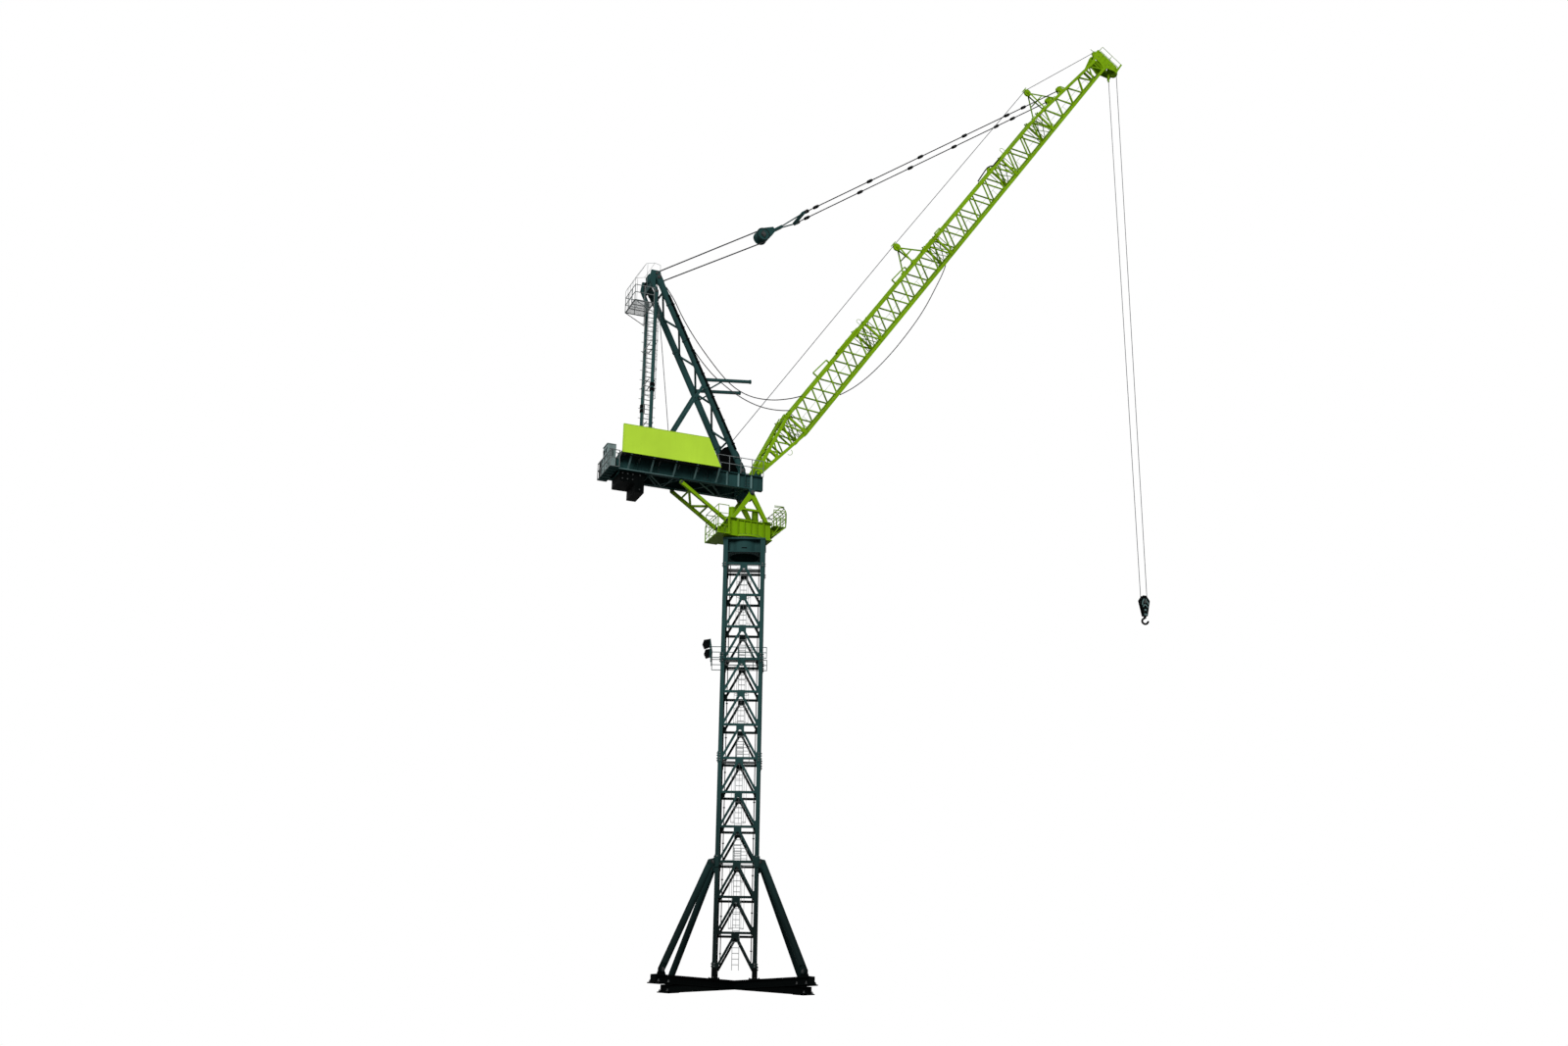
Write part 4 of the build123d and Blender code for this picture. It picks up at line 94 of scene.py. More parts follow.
class Build:
    """Collects bars, rods, plates and rings in one mesh, drawn in a local frame."""

    def __init__(self, place=Matrix.Identity(4)):
        self.place = place
        self.points = []
        self.faces = []
        self.smooth = []

    def add(self, points, faces, smooth=False):
        base = len(self.points)
        self.points += [self.place @ Vector(point) for point in points]
        self.faces += [[base + index for index in face] for face in faces]
        self.smooth += [smooth] * len(faces)

    def skin(self, rings, sides, smooth=True, closed=False):
        """Walls between rings of points, with a cap at each end unless the rings close on themselves."""
        count = len(rings) // sides
        faces = []
        for index in range(count if closed else count - 1):
            a, b = index * sides, (index + 1) % count * sides
            faces += [[a + i, a + (i + 1) % sides, b + (i + 1) % sides, b + i] for i in range(sides)]
        self.add(rings, faces, smooth)
        if not closed:
            self.add(rings[:sides], [list(reversed(range(sides)))])
            self.add(rings[-sides:], [list(range(sides))])

    def prism(self, start, end, outline, side=None, smooth=False):
        """An outline carried along a straight span; side is the direction of its first axis."""
        start, end = Vector(start), Vector(end)
        along = (end - start).normalized()
        across = Vector(side) if side else along.cross(Z_AXIS)
        if across.length < 1e-4:
            across = X_AXIS
        across = (across - along * across.dot(along)).normalized()
        up = along.cross(across)
        rings = [origin + across * u + up * v for origin in (start, end) for u, v in outline]
        self.skin(rings, len(outline), smooth)

    def bar(self, start, end, width, depth=None, side=None):
        u, v = width / 2, (depth or width) / 2
        self.prism(start, end, [(-u, -v), (u, -v), (u, v), (-u, v)], side)

    def strap(self, points, y, width, depth):
        """Flat bars along a line of x and z points, all at one y."""
        for first, second in zip(points, points[1:]):
            self.bar((first[0], y, first[1]), (second[0], y, second[1]), width, depth, Y_AXIS)

    def rod(self, start, end, diameter, sides=10):
        self.prism(start, end, [(c * diameter / 2, s * diameter / 2) for c, s in circle(sides)], None, True)

    def slab(self, centre, size):
        """A block about its centre, with its size along X, Y and Z."""
        x, y, z = centre
        self.bar((x - size[0] / 2, y, z), (x + size[0] / 2, y, z), size[1], size[2], Y_AXIS)

    def box(self, low, high):
        """A block between two corners."""
        spans = list(zip(low, high))
        self.slab([(a + b) / 2 for a, b in spans], [b - a for a, b in spans])

    def bolt(self, place, axis, radius, height):
        """A hexagon head on a washer."""
        place, axis = Vector(place), Vector(axis).normalized()
        washer = place + axis * height * 0.3
        self.rod(place, washer, 2.5 * radius, 12)
        self.prism(washer, place + axis * height, [(c * radius, s * radius) for c, s in circle(6)])

    def tube(self, points, diameter, sides=8, closed=False):
        """A round tube along a line of points, with no gap at its corners."""
        points = [Vector(point) for point in points]
        count = len(points)
        rings = []
        across = None
        for index, point in enumerate(points):
            before = points[(index - 1) % count] if closed or index else point
            after = points[(index + 1) % count] if closed or index < count - 1 else point
            along = (after - before).normalized()
            if across is None:
                across = along.orthogonal()
            across = (across - along * across.dot(along)).normalized()
            up = along.cross(across)
            rings += [point + (across * c + up * s) * diameter / 2 for c, s in circle(sides)]
        self.skin(rings, sides, True, closed)

    def arc(self, centre, across, up, radius, start, end, diameter, sides=8, steps=None):
        """A tube along an arc in the plane of two unit directions; the angles are in degrees."""
        steps = steps or max(3, ceil(abs(end - start) / 12))
        closed = abs(end - start) >= 359.9
        line = []
        for step in range(steps if closed else steps + 1):
            turn = radians(start + (end - start) * step / steps)
            line.append(Vector(centre) + (across * cos(turn) + up * sin(turn)) * radius)
        self.tube(line, diameter, sides, closed)

    def turned(self, centre, axis, profile, sides=14):
        """A turned shape: a profile of distances along an axis and the radius at each."""
        across = axis.orthogonal().normalized()
        up = axis.cross(across)
        rings = [centre + axis * distance + (across * c + up * s) * radius
                 for distance, radius in profile for c, s in circle(sides)]
        self.skin(rings, sides)

    def piece(self, name, material, body="upperworks"):
        """Make the object and let it ride on a body, unless it spans two and rides on none."""
        mesh = bpy.data.meshes.new(name)
        mesh.from_pydata(self.points, [], self.faces)
        mesh.polygons.foreach_set("use_smooth", self.smooth)
        mesh.materials.append(material)
        mesh.update()
        made = placed(name, mesh)
        if body:
            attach(made, body)
        return made


def builds(count, place=UPPER):
    """Empty builds in one frame, one for each finish."""
    return [Build(place) for _ in range(count)]


# Materials

class Nodes:
    """Shorthand for a material's node tree."""

    def __init__(self, name):
        self.material = bpy.data.materials.new(name)
        self.material.use_nodes = True
        self.tree = self.material.node_tree
        self.shader = self.tree.nodes["Principled BSDF"]
        self.place = self.add("ShaderNodeTexCoord").outputs["Object"]

    def add(self, kind, values=None, **settings):
        """A new node with its settings, and with constants on the input sockets that values names."""
        node = self.tree.nodes.new(kind)
        for key, value in settings.items():
            setattr(node, key, value)
        for socket, value in (values or {}).items():
            node.inputs[socket].default_value = value
        return node

    def link(self, source, target):
        self.tree.links.new(source, target)

    def drive(self, socket, source):
        """Link a source to a socket of the material's shader."""
        self.link(source, self.shader.inputs[socket])

    def noise(self, scale, detail=4.0, stretch=(1, 1, 1), roughness=0.55):
        mapping = self.add("ShaderNodeMapping", {"Scale": stretch})
        self.link(self.place, mapping.inputs["Vector"])
        noise = self.add("ShaderNodeTexNoise", {"Scale": scale, "Detail": detail, "Roughness": roughness})
        self.link(mapping.outputs["Vector"], noise.inputs["Vector"])
        return noise.outputs["Fac"]

    def ramp(self, source, low, high, start=0.0, end=1.0):
        """A number that runs from low to high as the source passes from start to end."""
        limits = {"From Min": start, "From Max": end, "To Min": low, "To Max": high}
        node = self.add("ShaderNodeMapRange", limits)
        self.link(source, node.inputs["Value"])
        return node.outputs["Result"]

    def mix(self, factor, first, second):
        node = self.add("ShaderNodeMix", data_type="RGBA")
        for socket, value in (("A", first), ("B", second)):
            target = [s for s in node.inputs if s.name == socket and s.type == "RGBA"][0]
            if isinstance(value, tuple):
                target.default_value = (*value, 1)
            else:
                self.link(value, target)
        self.link(factor, node.inputs["Factor"])
        return [s for s in node.outputs if s.type == "RGBA"][0]

    def bump(self, height, strength, distance):
        node = self.add("ShaderNodeBump", {"Strength": strength, "Distance": distance})
        self.link(height, node.inputs["Height"])
        self.drive("Normal", node.outputs["Normal"])


def srgb(red, green, blue):
    """A display colour, 0 to 255, as the linear colour that a shader takes."""
    def linear(value):
        value /= 255
        return value / 12.92 if value <= 0.04045 else ((value + 0.055) / 1.055) ** 2.4
    return tuple(linear(value) for value in (red, green, blue))


def shade(colour, factor):
    return tuple(min(1.0, channel * factor) for channel in colour)


def paint(name, colour, grime, chip, rough, soiling, gloss, low_darkening=0.0, inner_shade=0.0):
    """Shop paint: slow tone changes, rain streaks of grime, small chips and an orange-peel surface.
    Of the last two arguments, the first is how far it turns darker towards the ground, and the second is how
    far painted shade darkens the faces that look towards the mast's own axis, as the lattice's inner side
    lies in shade."""
    nodes = Nodes(name)
    tone = nodes.ramp(nodes.noise(0.55, 3.0), 0.0, 1.0, 0.3, 0.7)
    body = nodes.mix(tone, shade(colour, 0.86), shade(colour, 1.1))
    streak = nodes.ramp(nodes.noise(2.6, 5.0, (3.0, 3.0, 0.22)), 0.0, soiling, 0.52, 0.78)
    body = nodes.mix(streak, body, grime)
    # A deep tone of the grime colour, used for the darkening towards the ground and for the painted shade.
    deep_tone = shade(grime, 0.3)
    # Darker towards the ground: the deep tone is mixed in below 6.4 m of the object's height, most strongly
    # below 1.6 m.
    if low_darkening:
        height = nodes.add("ShaderNodeSeparateXYZ")
        nodes.link(nodes.place, height.inputs["Vector"])
        body = nodes.mix(nodes.ramp(height.outputs["Z"], low_darkening, 0.0, 1.6, 6.4), body, deep_tone)
    # Painted shade: faces whose normal looks towards the object's own Z axis take the deep tone, standing in
    # for the shade in the mast's lattice.
    if inner_shade:
        level = nodes.add("ShaderNodeVectorMath", operation="MULTIPLY")
        level.inputs[1].default_value = (1, 1, 0)
        nodes.link(nodes.place, level.inputs[0])
        facing = nodes.add("ShaderNodeVectorMath", operation="DOT_PRODUCT")
        nodes.link(level.outputs["Vector"], facing.inputs[0])
        nodes.link(nodes.place.node.outputs["Normal"], facing.inputs[1])
        body = nodes.mix(nodes.ramp(facing.outputs["Value"], inner_shade, 0.0, -0.3, 0.05), body, deep_tone)
    chips = nodes.ramp(nodes.noise(21.0, 6.0, roughness=0.7), 0.0, 0.85, 0.705, 0.73)
    nodes.drive("Base Color", nodes.mix(chips, body, chip))
    nodes.drive("Roughness", nodes.ramp(nodes.noise(6.0), rough - 0.09, rough + 0.16))
    nodes.shader.inputs["Specular IOR Level"].default_value = gloss
    nodes.bump(nodes.noise(140.0, 2.0), 0.12, 0.002)
    return nodes.material


def bare_metal(name, colour, grime, rough=0.5, spangle=26.0, metallic=0.75):
    """Zinc or worn steel with a mottled surface."""
    nodes = Nodes(name)
    nodes.shader.inputs["Metallic"].default_value = metallic
    mottle = nodes.ramp(nodes.noise(spangle, 3.0), 0.0, 1.0, 0.35, 0.65)
    body = nodes.mix(mottle, shade(colour, 0.78), shade(colour, 1.12))
    stain = nodes.ramp(nodes.noise(1.9, 5.0, (2.0, 2.0, 0.4)), 0.0, 0.55, 0.5, 0.8)
    nodes.drive("Base Color", nodes.mix(stain, body, grime))
    nodes.drive("Roughness", nodes.ramp(nodes.noise(spangle / 2), rough - 0.12, rough + 0.15))
    nodes.bump(nodes.noise(spangle * 5, 2.0), 0.1, 0.001)
    return nodes.material


def wire(name, colour, pitch=90.0, lean=radians(38)):
    """Laid wire: bands that slant across the rope."""
    nodes = Nodes(name)
    nodes.shader.inputs["Metallic"].default_value = 0.55
    nodes.shader.inputs["Roughness"].default_value = 0.46
    mapping = nodes.add("ShaderNodeMapping", {"Rotation": (lean, 0, 0)})
    nodes.link(nodes.place, mapping.inputs["Vector"])
    bands = nodes.add("ShaderNodeTexWave", {"Scale": pitch, "Distortion": 0.4}, wave_type="BANDS",
                      bands_direction="Z")
    nodes.link(mapping.outputs["Vector"], bands.inputs["Vector"])
    strand = bands.outputs["Fac"]
    nodes.drive("Base Color", nodes.mix(strand, shade(colour, 0.7), shade(colour, 1.15)))
    nodes.bump(strand, 0.6, 0.004)
    return nodes.material


def sheath(name, colour, dust_colour):
    """The rubber jacket of a cable, dusty on top of a dull black."""
    nodes = Nodes(name)
    dust = nodes.ramp(nodes.noise(9.0, 5.0), 0.0, 0.5, 0.45, 0.75)
    nodes.drive("Base Color", nodes.mix(dust, colour, dust_colour))
    nodes.drive("Roughness", nodes.ramp(nodes.noise(30.0), 0.55, 0.8))
    nodes.bump(nodes.noise(220.0, 2.0), 0.15, 0.001)
    return nodes.material


def glass(name, colour):
    """The ribbed front glass of a lamp, dusty in patches."""
    nodes = Nodes(name)
    dust = nodes.ramp(nodes.noise(7.0, 5.0), 0.0, 0.7, 0.4, 0.75)
    nodes.drive("Base Color", nodes.mix(dust, colour, shade(colour, 0.55)))
    nodes.drive("Roughness", nodes.ramp(nodes.noise(14.0), 0.08, 0.3))
    ribs = nodes.add("ShaderNodeTexWave", {"Scale": 30.0}, wave_type="BANDS", bands_direction="Y")
    nodes.link(nodes.place, ribs.inputs["Vector"])
    nodes.bump(ribs.outputs["Fac"], 0.4, 0.003)
    return nodes.material


TEAL_TONES = (srgb(36, 66, 65), srgb(16, 22, 21), srgb(46, 56, 53), 0.55, 0.45, 0.03)
TEAL = paint("teal_paint", *TEAL_TONES, low_darkening=0.88)
# The mast's copy of the teal paint, with painted shade on the faces that look towards its axis.
MAST = paint("mast_paint_with_inner_shade", *TEAL_TONES, low_darkening=0.88, inner_shade=0.85)
# A paler copy of the teal paint: a painted highlight on the deck's brackets and stiffeners, and also the
# paint of the hook block's ribs.
PALE = paint("worn_teal_paint_and_painted_highlight", srgb(96, 124, 123), srgb(58, 78, 77), srgb(70, 80, 78), 0.5, 0.5, 0.05)
LIME = paint("lime_paint", srgb(118, 160, 10), srgb(78, 106, 8), srgb(92, 112, 24), 0.5, 0.4, 0.05)
PANEL = paint("panel_paint", srgb(180, 219, 60), srgb(160, 196, 54), srgb(190, 222, 96), 0.4, 0.2, 0.08)
BLACK = paint("black_paint", srgb(3, 5, 5), srgb(9, 10, 10), srgb(18, 17, 15), 0.65, 0.5, 0.02)
GREY = paint("cabinet_paint", srgb(126, 144, 143), srgb(84, 96, 95), srgb(76, 80, 78), 0.5, 0.5, 0.08)
ZINC = bare_metal("zinc", srgb(98, 104, 104), srgb(56, 58, 57))
IRON = bare_metal("worn_iron", srgb(58, 60, 60), srgb(30, 28, 26), 0.42, 40.0, 0.85)
ROPE = wire("wire_rope", srgb(70, 72, 76))
GREASED = wire("greased_rope", srgb(22, 24, 26))
GLASS = glass("lamp_glass", srgb(150, 158, 160))
SHEATH = sheath("cable_sheath", srgb(22, 22, 24), srgb(92, 92, 88))
LOOKS = {"teal_steel": TEAL, "lime_steel": LIME, "panel_lime": PANEL, "black_steel": BLACK,
         "galvanised": ZINC, "cabinet_grey": GREY, "sheave_iron": IRON, "wire_rope": ROPE,
         "cable_sheath": SHEATH}
OWN_LOOKS = {"mast_section_1": MAST, "mast_section_2": MAST, "mast_section_3": MAST,
             "mast_section_4": MAST, "lamp_gallery": TEAL, "hook_block": BLACK, "hook": BLACK}
SLOT_OF = {look.name: slot for slot, look in LOOKS.items()}
SLOT_OF |= {PALE.name: "teal_steel", GREASED.name: "wire_rope", GLASS.name: "cabinet_grey"}


def dress_nodes():
    """Give every solid the finish of its slot, or its own: the mast's paint with painted shade, or another
    paint.
    """
    for entry in frame["record"]["subparts"]:
        name = entry["node"]
        node = NODES[name]
        node.data.materials.clear()
        node.data.materials.append(OWN_LOOKS.get(name) or LOOKS[entry["material_slot"]])


# Places that several details share, in the frame of their own body

MAST_JOINTS = (0.51, 3.36, 6.21, 9.06, 11.91)
MAST_CHORD = 0.54
STRUT_BRACKETS = (3.16, 3.44)
DECK_TOP = 14.6496
DECK_BOTTOM = 14.1996
GIRDER_Y = 0.45
PLATFORM_TOP = 13.2366
LEG_FEET = (-0.57, 0.49)
FRAME_FOOT = Vector((-0.315, 0, 14.7596))
FRAME_HEAD = Vector((-3.15, 0, 20.5496))
HEAD_AXLE = Vector((-3.21, 0, 20.6796))
REAR_LEG_X = -3.2
HOIST_DRUM_X, LUFFING_DRUM_X = -0.64, -2.65
DRUM_Z = DECK_TOP + 0.56
JIB_JOINTS = (2.2, 6.65, 11.1, 15.55, 18.22)
TIP_LENGTH = 3.78
JIB_Y = 0.375
JIB_BOTTOM = -0.3645
CHORD = 0.045
HEEL_FACE, CHORD_FACE, TIP_FACE = 0.092, 0.4455, 0.1205
ANCHOR_X = 19.8003
ANCHOR_RISE = 0.11
PENDANT_LENGTH = 12.07
TIE_TO_BLOCK = PENDANT_LENGTH + 1.2 + 0.462

# Rope circles on the drums and sheaves: x and z in the frame of their body, and the radius
ROPE_SIZE = 0.022
HEAD_SHEAVE_Y = 0.032
DRUM_LAY = 0.2313
HEAD_LOOP = (HEAD_AXLE.x, HEAD_AXLE.z, 0.1595)
FLOATING_LOOP_RADIUS = 0.2013
GUIDE_LOOPS = ((10.05, 1.1658, 0.1127), (19.0, 1.1658, 0.1127))
CROWN_LOOP = (22.65, 0.1638, 0.1127)
NOSE_LOOP = (22.6, -0.7145, 0.1751)
BLOCK_LOOP = (0, 0, 0.1205)


# Slack cables, whose points are listed: two from the A-frame to the jib, given as X, Y and Z in
# the upperworks, and one below the jib, given as X and Z in the jib

CABLE = 0.03
FRAME_CABLE = (
    (-2.8907, -0.45, 20.2818), (-2.64, -0.448, 19.96), (-2.43, -0.44, 19.55),
    (-2.196, -0.43, 19.173), (-1.931, -0.415, 18.806), (-1.635, -0.398, 18.445),
    (-1.34, -0.382, 18.116), (-1.045, -0.372, 17.8), (-0.745, -0.368, 17.53),
    (-0.415, -0.368, 17.335), (-0.044, -0.369, 17.228), (0.33, -0.37, 17.213),
    (0.7, -0.371, 17.25), (1.06, -0.372, 17.342), (1.38, -0.374, 17.45), (1.6162, -0.375, 17.5596),
)
LOOP_CABLE = (
    (-1.9694, -0.45, 18.4), (-1.8, -0.435, 18.2), (-1.59, -0.408, 17.985),
    (-1.35, -0.387, 17.758), (-1.08, -0.38, 17.55), (-0.79, -0.379, 17.36),
    (-0.54, -0.378, 17.22), (-0.27, -0.377, 17.098), (0.0, -0.376, 17.01),
    (0.26, -0.376, 16.953), (0.52, -0.375, 16.93), (0.76, -0.375, 16.936), (1.0, -0.375, 16.957),
    (1.2141, -0.375, 16.9982),
)
JIB_CABLE = (
    (4.04, -0.4238), (4.3, -0.523), (4.64, -0.628), (5.06, -0.718), (5.49, -0.778),
    (5.92, -0.818), (6.36, -0.845), (6.81, -0.858), (7.25, -0.856), (7.69, -0.846),
    (8.12, -0.827), (8.535, -0.794), (8.95, -0.742), (9.35, -0.676), (9.72, -0.612),
    (10.06, -0.55), (10.32, -0.492), (10.56, -0.4243),
)


def spline_line(name, points):
    """The points along a smooth curve that has the route's points as its controls, and its length."""
    data = bpy.data.curves.new(name + "_route", "CURVE")
    data.dimensions = "3D"
    data.resolution_u = 8
    spline = data.splines.new("NURBS")
    spline.points.add(len(points) - 1)
    for control, point in zip(spline.points, points):
        control.co = (*point, 1)
    spline.order_u = 3
    spline.use_endpoint_u = True
    route = bpy.data.objects.new(name + "_route", data)
    mesh = bpy.data.meshes.new_from_object(route)
    line = [vertex.co.copy() for vertex in mesh.vertices]
    bpy.data.objects.remove(route)
    bpy.data.curves.remove(data)
    bpy.data.meshes.remove(mesh)
    return line, sum((b - a).length for a, b in zip(line, line[1:]))


def slack_cable(name, node, points, ends):
    """A hanging cable as a tube along its route; ends are its two bodies, or the one that has both."""
    line, length = spline_line(name, points)
    build = Build()
    build.tube(line, CABLE, 12)
    piece = build.piece(name, SHEATH, None if len(ends) == 2 else ends[0])
    if len(ends) == 2:
        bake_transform(piece)
    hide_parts(node)


def slack_cables():
    for name, node, points in (("cable_to_jib", "frame_cable", FRAME_CABLE),
                               ("cable_loop", "loop_cable", LOOP_CABLE)):
        slack_cable(name, node, [UPPER @ Vector(point) for point in points], ("upperworks", "jib"))
    route = [JIB @ Vector((x, -JIB_Y, z)) for x, z in JIB_CABLE]
    slack_cable("cable_below_jib", "jib_cable", route, ("jib",))


def pin_ends(build, place, half, radius):
    """The two heads of a joint pin across Y: a stepped head with a keeper plate and its bolts."""
    for side in SIDES:
        out = Y_AXIS * side
        across = out.orthogonal().normalized()
        face = Vector(place) + out * half
        step = face + out * 0.35 * radius
        build.rod(face, step, 3.1 * radius, 20)
        build.rod(step, face + out * 0.8 * radius, 2.1 * radius, 20)
        keeper = face + out * 0.45 * radius
        reach = across * 2.1 * radius
        build.bar(keeper - reach, keeper + reach, 0.7 * radius, 0.25 * radius, out.cross(across))
        for end in SIDES:
            bolt = face + across * end * 1.75 * radius + out * 0.5 * radius
            build.bolt(bolt, out, 0.25 * radius, 0.3 * radius)


def hoops(build, x, y, levels, toward, radius=0.26, half=0.1):
    """The safety cage of a ladder whose rungs run along X: hoops on its stiles and straps along them."""
    arcs = []
    for level in levels:
        line = [Vector((x + half, y, level))]
        for turn in [radians(-20 + 220 * i / 16) for i in range(17)]:
            out = toward * (0.1 + radius * sin(turn) * 0.85)
            line.append(Vector((x + radius * cos(turn) * 0.8, y + out, level)))
        line.append(Vector((x - half, y, level)))
        build.tube(line, 0.012, 6)
        arcs.append(line)
    for index in (3, 6, 9, 12, 15):
        build.tube([line[index] for line in arcs], 0.01, 6)


# Tower

def tower_bolts():
    iron = Build()
    for turn in range(4):
        iron.place = Matrix.Rotation(radians(45 + 90 * turn), 4, "Z")
        for x, y in product((2.517, 2.857), (-0.17, 0.17)):
            iron.bolt((x, y, 0.03), Z_AXIS, 0.027, 0.036)
            iron.rod((x, y, 0.066), (x, y, 0.094), 0.028)
        for x, y in product((0.6637, 0.8637), (-0.08, 0.08)):
            iron.bolt((x, y, 0.2495), Z_AXIS, 0.014, 0.022)
        for x, z in ((2.627, 0.36), (0.989, 3.3)):
            pin_ends(iron, (x, 0, z), 0.0556, 0.032)
    iron.place = Matrix.Identity(4)
    for joint, rise in product(MAST_JOINTS, (-0.105, -0.04, 0.04, 0.105)):
        level = joint + rise
        hidden = STRUT_BRACKETS[0] < level < STRUT_BRACKETS[1]
        if MAST_JOINTS[0] < level < MAST_JOINTS[-1] and not hidden:
            for x, y in product(SIDES, SIDES):
                chord = Vector((MAST_CHORD * x, MAST_CHORD * y, level))
                for out in (X_AXIS * x, Y_AXIS * y):
                    iron.bolt(chord + out * 0.067, out, 0.017, 0.026)
    for c, s in circle(40):
        iron.bolt((0.578 * c, 0.578 * s, 12.65), Z_AXIS, 0.015, 0.03)
    iron.piece("tower_bolts", IRON, "tower")


def tower_conduits():
    dark = Build()
    for side in SIDES:
        y = side * 0.5455
        dark.bar((-0.075, y, 12.36), (0.075, y, 12.36), 0.03, 0.008, Z_AXIS)
    for x, y in ((-0.42, 0.478), (0.44, -0.478)):
        dark.rod((x, y, 0.6), (x, y, 12.2), 0.026, 8)
        for level in range(12):
            dark.slab((x, y, 0.965 + level), (0.06, 0.032, 0.03))
    dark.piece("tower_conduits", BLACK, "tower")


def mast_cages():
    """Ladder cages, and the guards that stand on the landings."""
    cage = Build()
    for index, foot in enumerate(MAST_JOINTS[:-1]):
        side = 1 if index % 2 == 0 else -1
        hoops(cage, 0, side * 0.25, [foot + 1.1 + 0.42 * step for step in range(5)], -side)
    for index, landing in enumerate(MAST_JOINTS[1:-1]):
        y = -0.09 if index % 2 == 0 else 0.09
        for x in (-0.12, 0.26):
            cage.rod((x, y, landing), (x, y, landing + 0.49), 0.018, 8)
        for rise in (0.11, 0.205, 0.3, 0.395, 0.49):
            cage.rod((-0.12, y, landing + rise), (0.26, y, landing + rise), 0.014, 8)
    cage.piece("mast_ladder_cages", ZINC, "tower")


def lamp_details():
    body, pane = Build(), Build()
    for side in SIDES:
        origin = Vector((-0.9073, side * 0.53, 9.475))
        low = origin + Vector((-0.1575, 0, -0.152))
        high = origin + Vector((-0.21, 0, -0.0475))
        along = (high - low).normalized()
        out = Vector((-along.z, 0, along.x))
        front = (low + high) / 2 + out * 0.003
        pane.bar(front - Y_AXIS * 0.095, front + Y_AXIS * 0.095, 0.01, 0.092, out)
        rim = (low + high) / 2 + out * 0.004
        for end in SIDES:
            post = rim + Y_AXIS * end * 0.105
            body.bar(post - along * 0.058, post + along * 0.058, 0.016, 0.02, out)
            sill = rim + along * end * 0.052
            body.bar(sill - Y_AXIS * 0.105, sill + Y_AXIS * 0.105, 0.016, 0.014, out)
            arm = origin + Y_AXIS * end * 0.122
            pivot = arm - X_AXIS * 0.09
            body.bar(pivot, arm + X_AXIS * 0.01, 0.01, 0.034, Y_AXIS)
            body.bolt(pivot + Y_AXIS * end * 0.005, Y_AXIS * end, 0.014, 0.018)
        for step in range(7):
            x = -0.025 - 0.022 * step
            top = 0.095 + (0.0633 - 0.095) * (-x) / 0.1785
            body.slab(origin + Vector((x, 0, top + 0.007)), (0.008, 0.19, 0.022))
        back = origin + X_AXIS * 0.004
        body.bar(back - Y_AXIS * 0.122, back + Y_AXIS * 0.122, 0.012, 0.034, X_AXIS)
    body.piece("floodlight_frames", BLACK, "tower")
    pane.piece("floodlight_glass", GLASS, "tower")


# Upperworks

def front_gallery(lime):
    """The cage of bent posts round the gallery at the front of the slewing platform."""
    front, deck = 0.6803, PLATFORM_TOP - 0.074
    edge = front + 0.39
    rails = [[], [], [], []]
    for y in (-0.5, -0.25, 0.0, 0.25, 0.5):
        line = [Vector((edge + x, y, deck + z)) for x, z in ((0.02, 0), (0.035, 0.2), (0.035, 0.42))]
        for turn in [radians(18 * i) for i in range(1, 6)]:
            line.append(Vector((edge - 0.145 + 0.18 * cos(turn), y, deck + 0.42 + 0.2 * sin(turn))))
        lime.tube(line, 0.024, 8)
        for rail, index in zip(rails, (1, 2, 5, 7)):
            rail.append(line[index])
    for rail in rails:
        ends = [Vector((front + 0.02, side * 0.555, rail[0].z)) for side in SIDES]
        knees = [Vector((edge - 0.06, side * 0.555, rail[0].z)) for side in SIDES]
        lime.tube([ends[0], knees[0], *rail, knees[1], ends[1]], 0.024, 8)
    for side in SIDES:
        foot = (front + 0.004, side * 0.43, deck - 0.3)
        for x, width in ((edge - 0.01, 0.024), (front + 0.18, 0.02)):
            lime.bar((x, side * 0.54, deck - 0.016), foot, width)


def rear_gallery(lime):
    near, far, low = -0.7203, -1.0403, 12.7226
    for side in SIDES:
        y = side * 0.545
        for x in (far, near):
            lime.rod((x, y, low), (x, y, low + 0.86), 0.024)
        for start, end, size in ((0.86, 0.86, 0.024), (0.6, 0.6, 0.02), (0.1, 0.55, 0.02)):
            lime.rod((far, y, low + start), (near, y, low + end), size)
    for level in (0.6, 0.86):
        lime.rod((far, -0.545, low + level), (far, 0.545, low + level), 0.022)


def slewing_drives(lime):
    """Two upright gear motors with fins."""
    steps = ((0, 0.03, 0.3), (0.03, 0.23, 0.22), (0.23, 0.45, 0.17), (0.45, 0.5, 0.19))
    for x in (-0.42, 0.3):
        foot = Vector((x, 0, PLATFORM_TOP))
        for low, high, width in steps:
            lime.rod(foot + Z_AXIS * low, foot + Z_AXIS * high, width, 28)
        for c, s in circle(14):
            out = Vector((c, s, 0))
            fin = foot + Z_AXIS * 0.245 + out * 0.084
            lime.bar(fin, fin + Z_AXIS * 0.195, 0.006, 0.026, out.cross(Z_AXIS))


def slewing_details():
    iron, lime = builds(2)
    for c, s in circle(44):
        if abs(0.585 * s) > 0.492:
            iron.bolt((0.585 * c, 0.585 * s, 12.7586), Z_AXIS, 0.014, 0.024)
    for side in SIDES:
        y = side * GIRDER_Y
        pin_ends(iron, (0, y, DECK_BOTTOM - 0.095), 0.1013, 0.036)
        for x, z in ((-0.76, 13.1586), (-2.18, DECK_BOTTOM - 0.08)):
            pin_ends(iron, (x, side * 0.4318, z), 0.0365, 0.024)
        for foot in LEG_FEET:
            lime.slab((foot, y, PLATFORM_TOP + 0.009), (0.24, 0.14, 0.018))
            for x in (-0.085, 0.085):
                iron.bolt((foot + x, y, PLATFORM_TOP + 0.018), Z_AXIS, 0.016, 0.026)
        for x in (-0.392, -0.196, 0.196, 0.392):
            lime.slab((x, side * 0.452, 12.9715), (0.014, 0.046, 0.473))
    front_gallery(lime)
    rear_gallery(lime)
    slewing_drives(lime)
    iron.piece("slewing_pins", IRON)
    lime.piece("slewing_rails_and_drives", LIME)


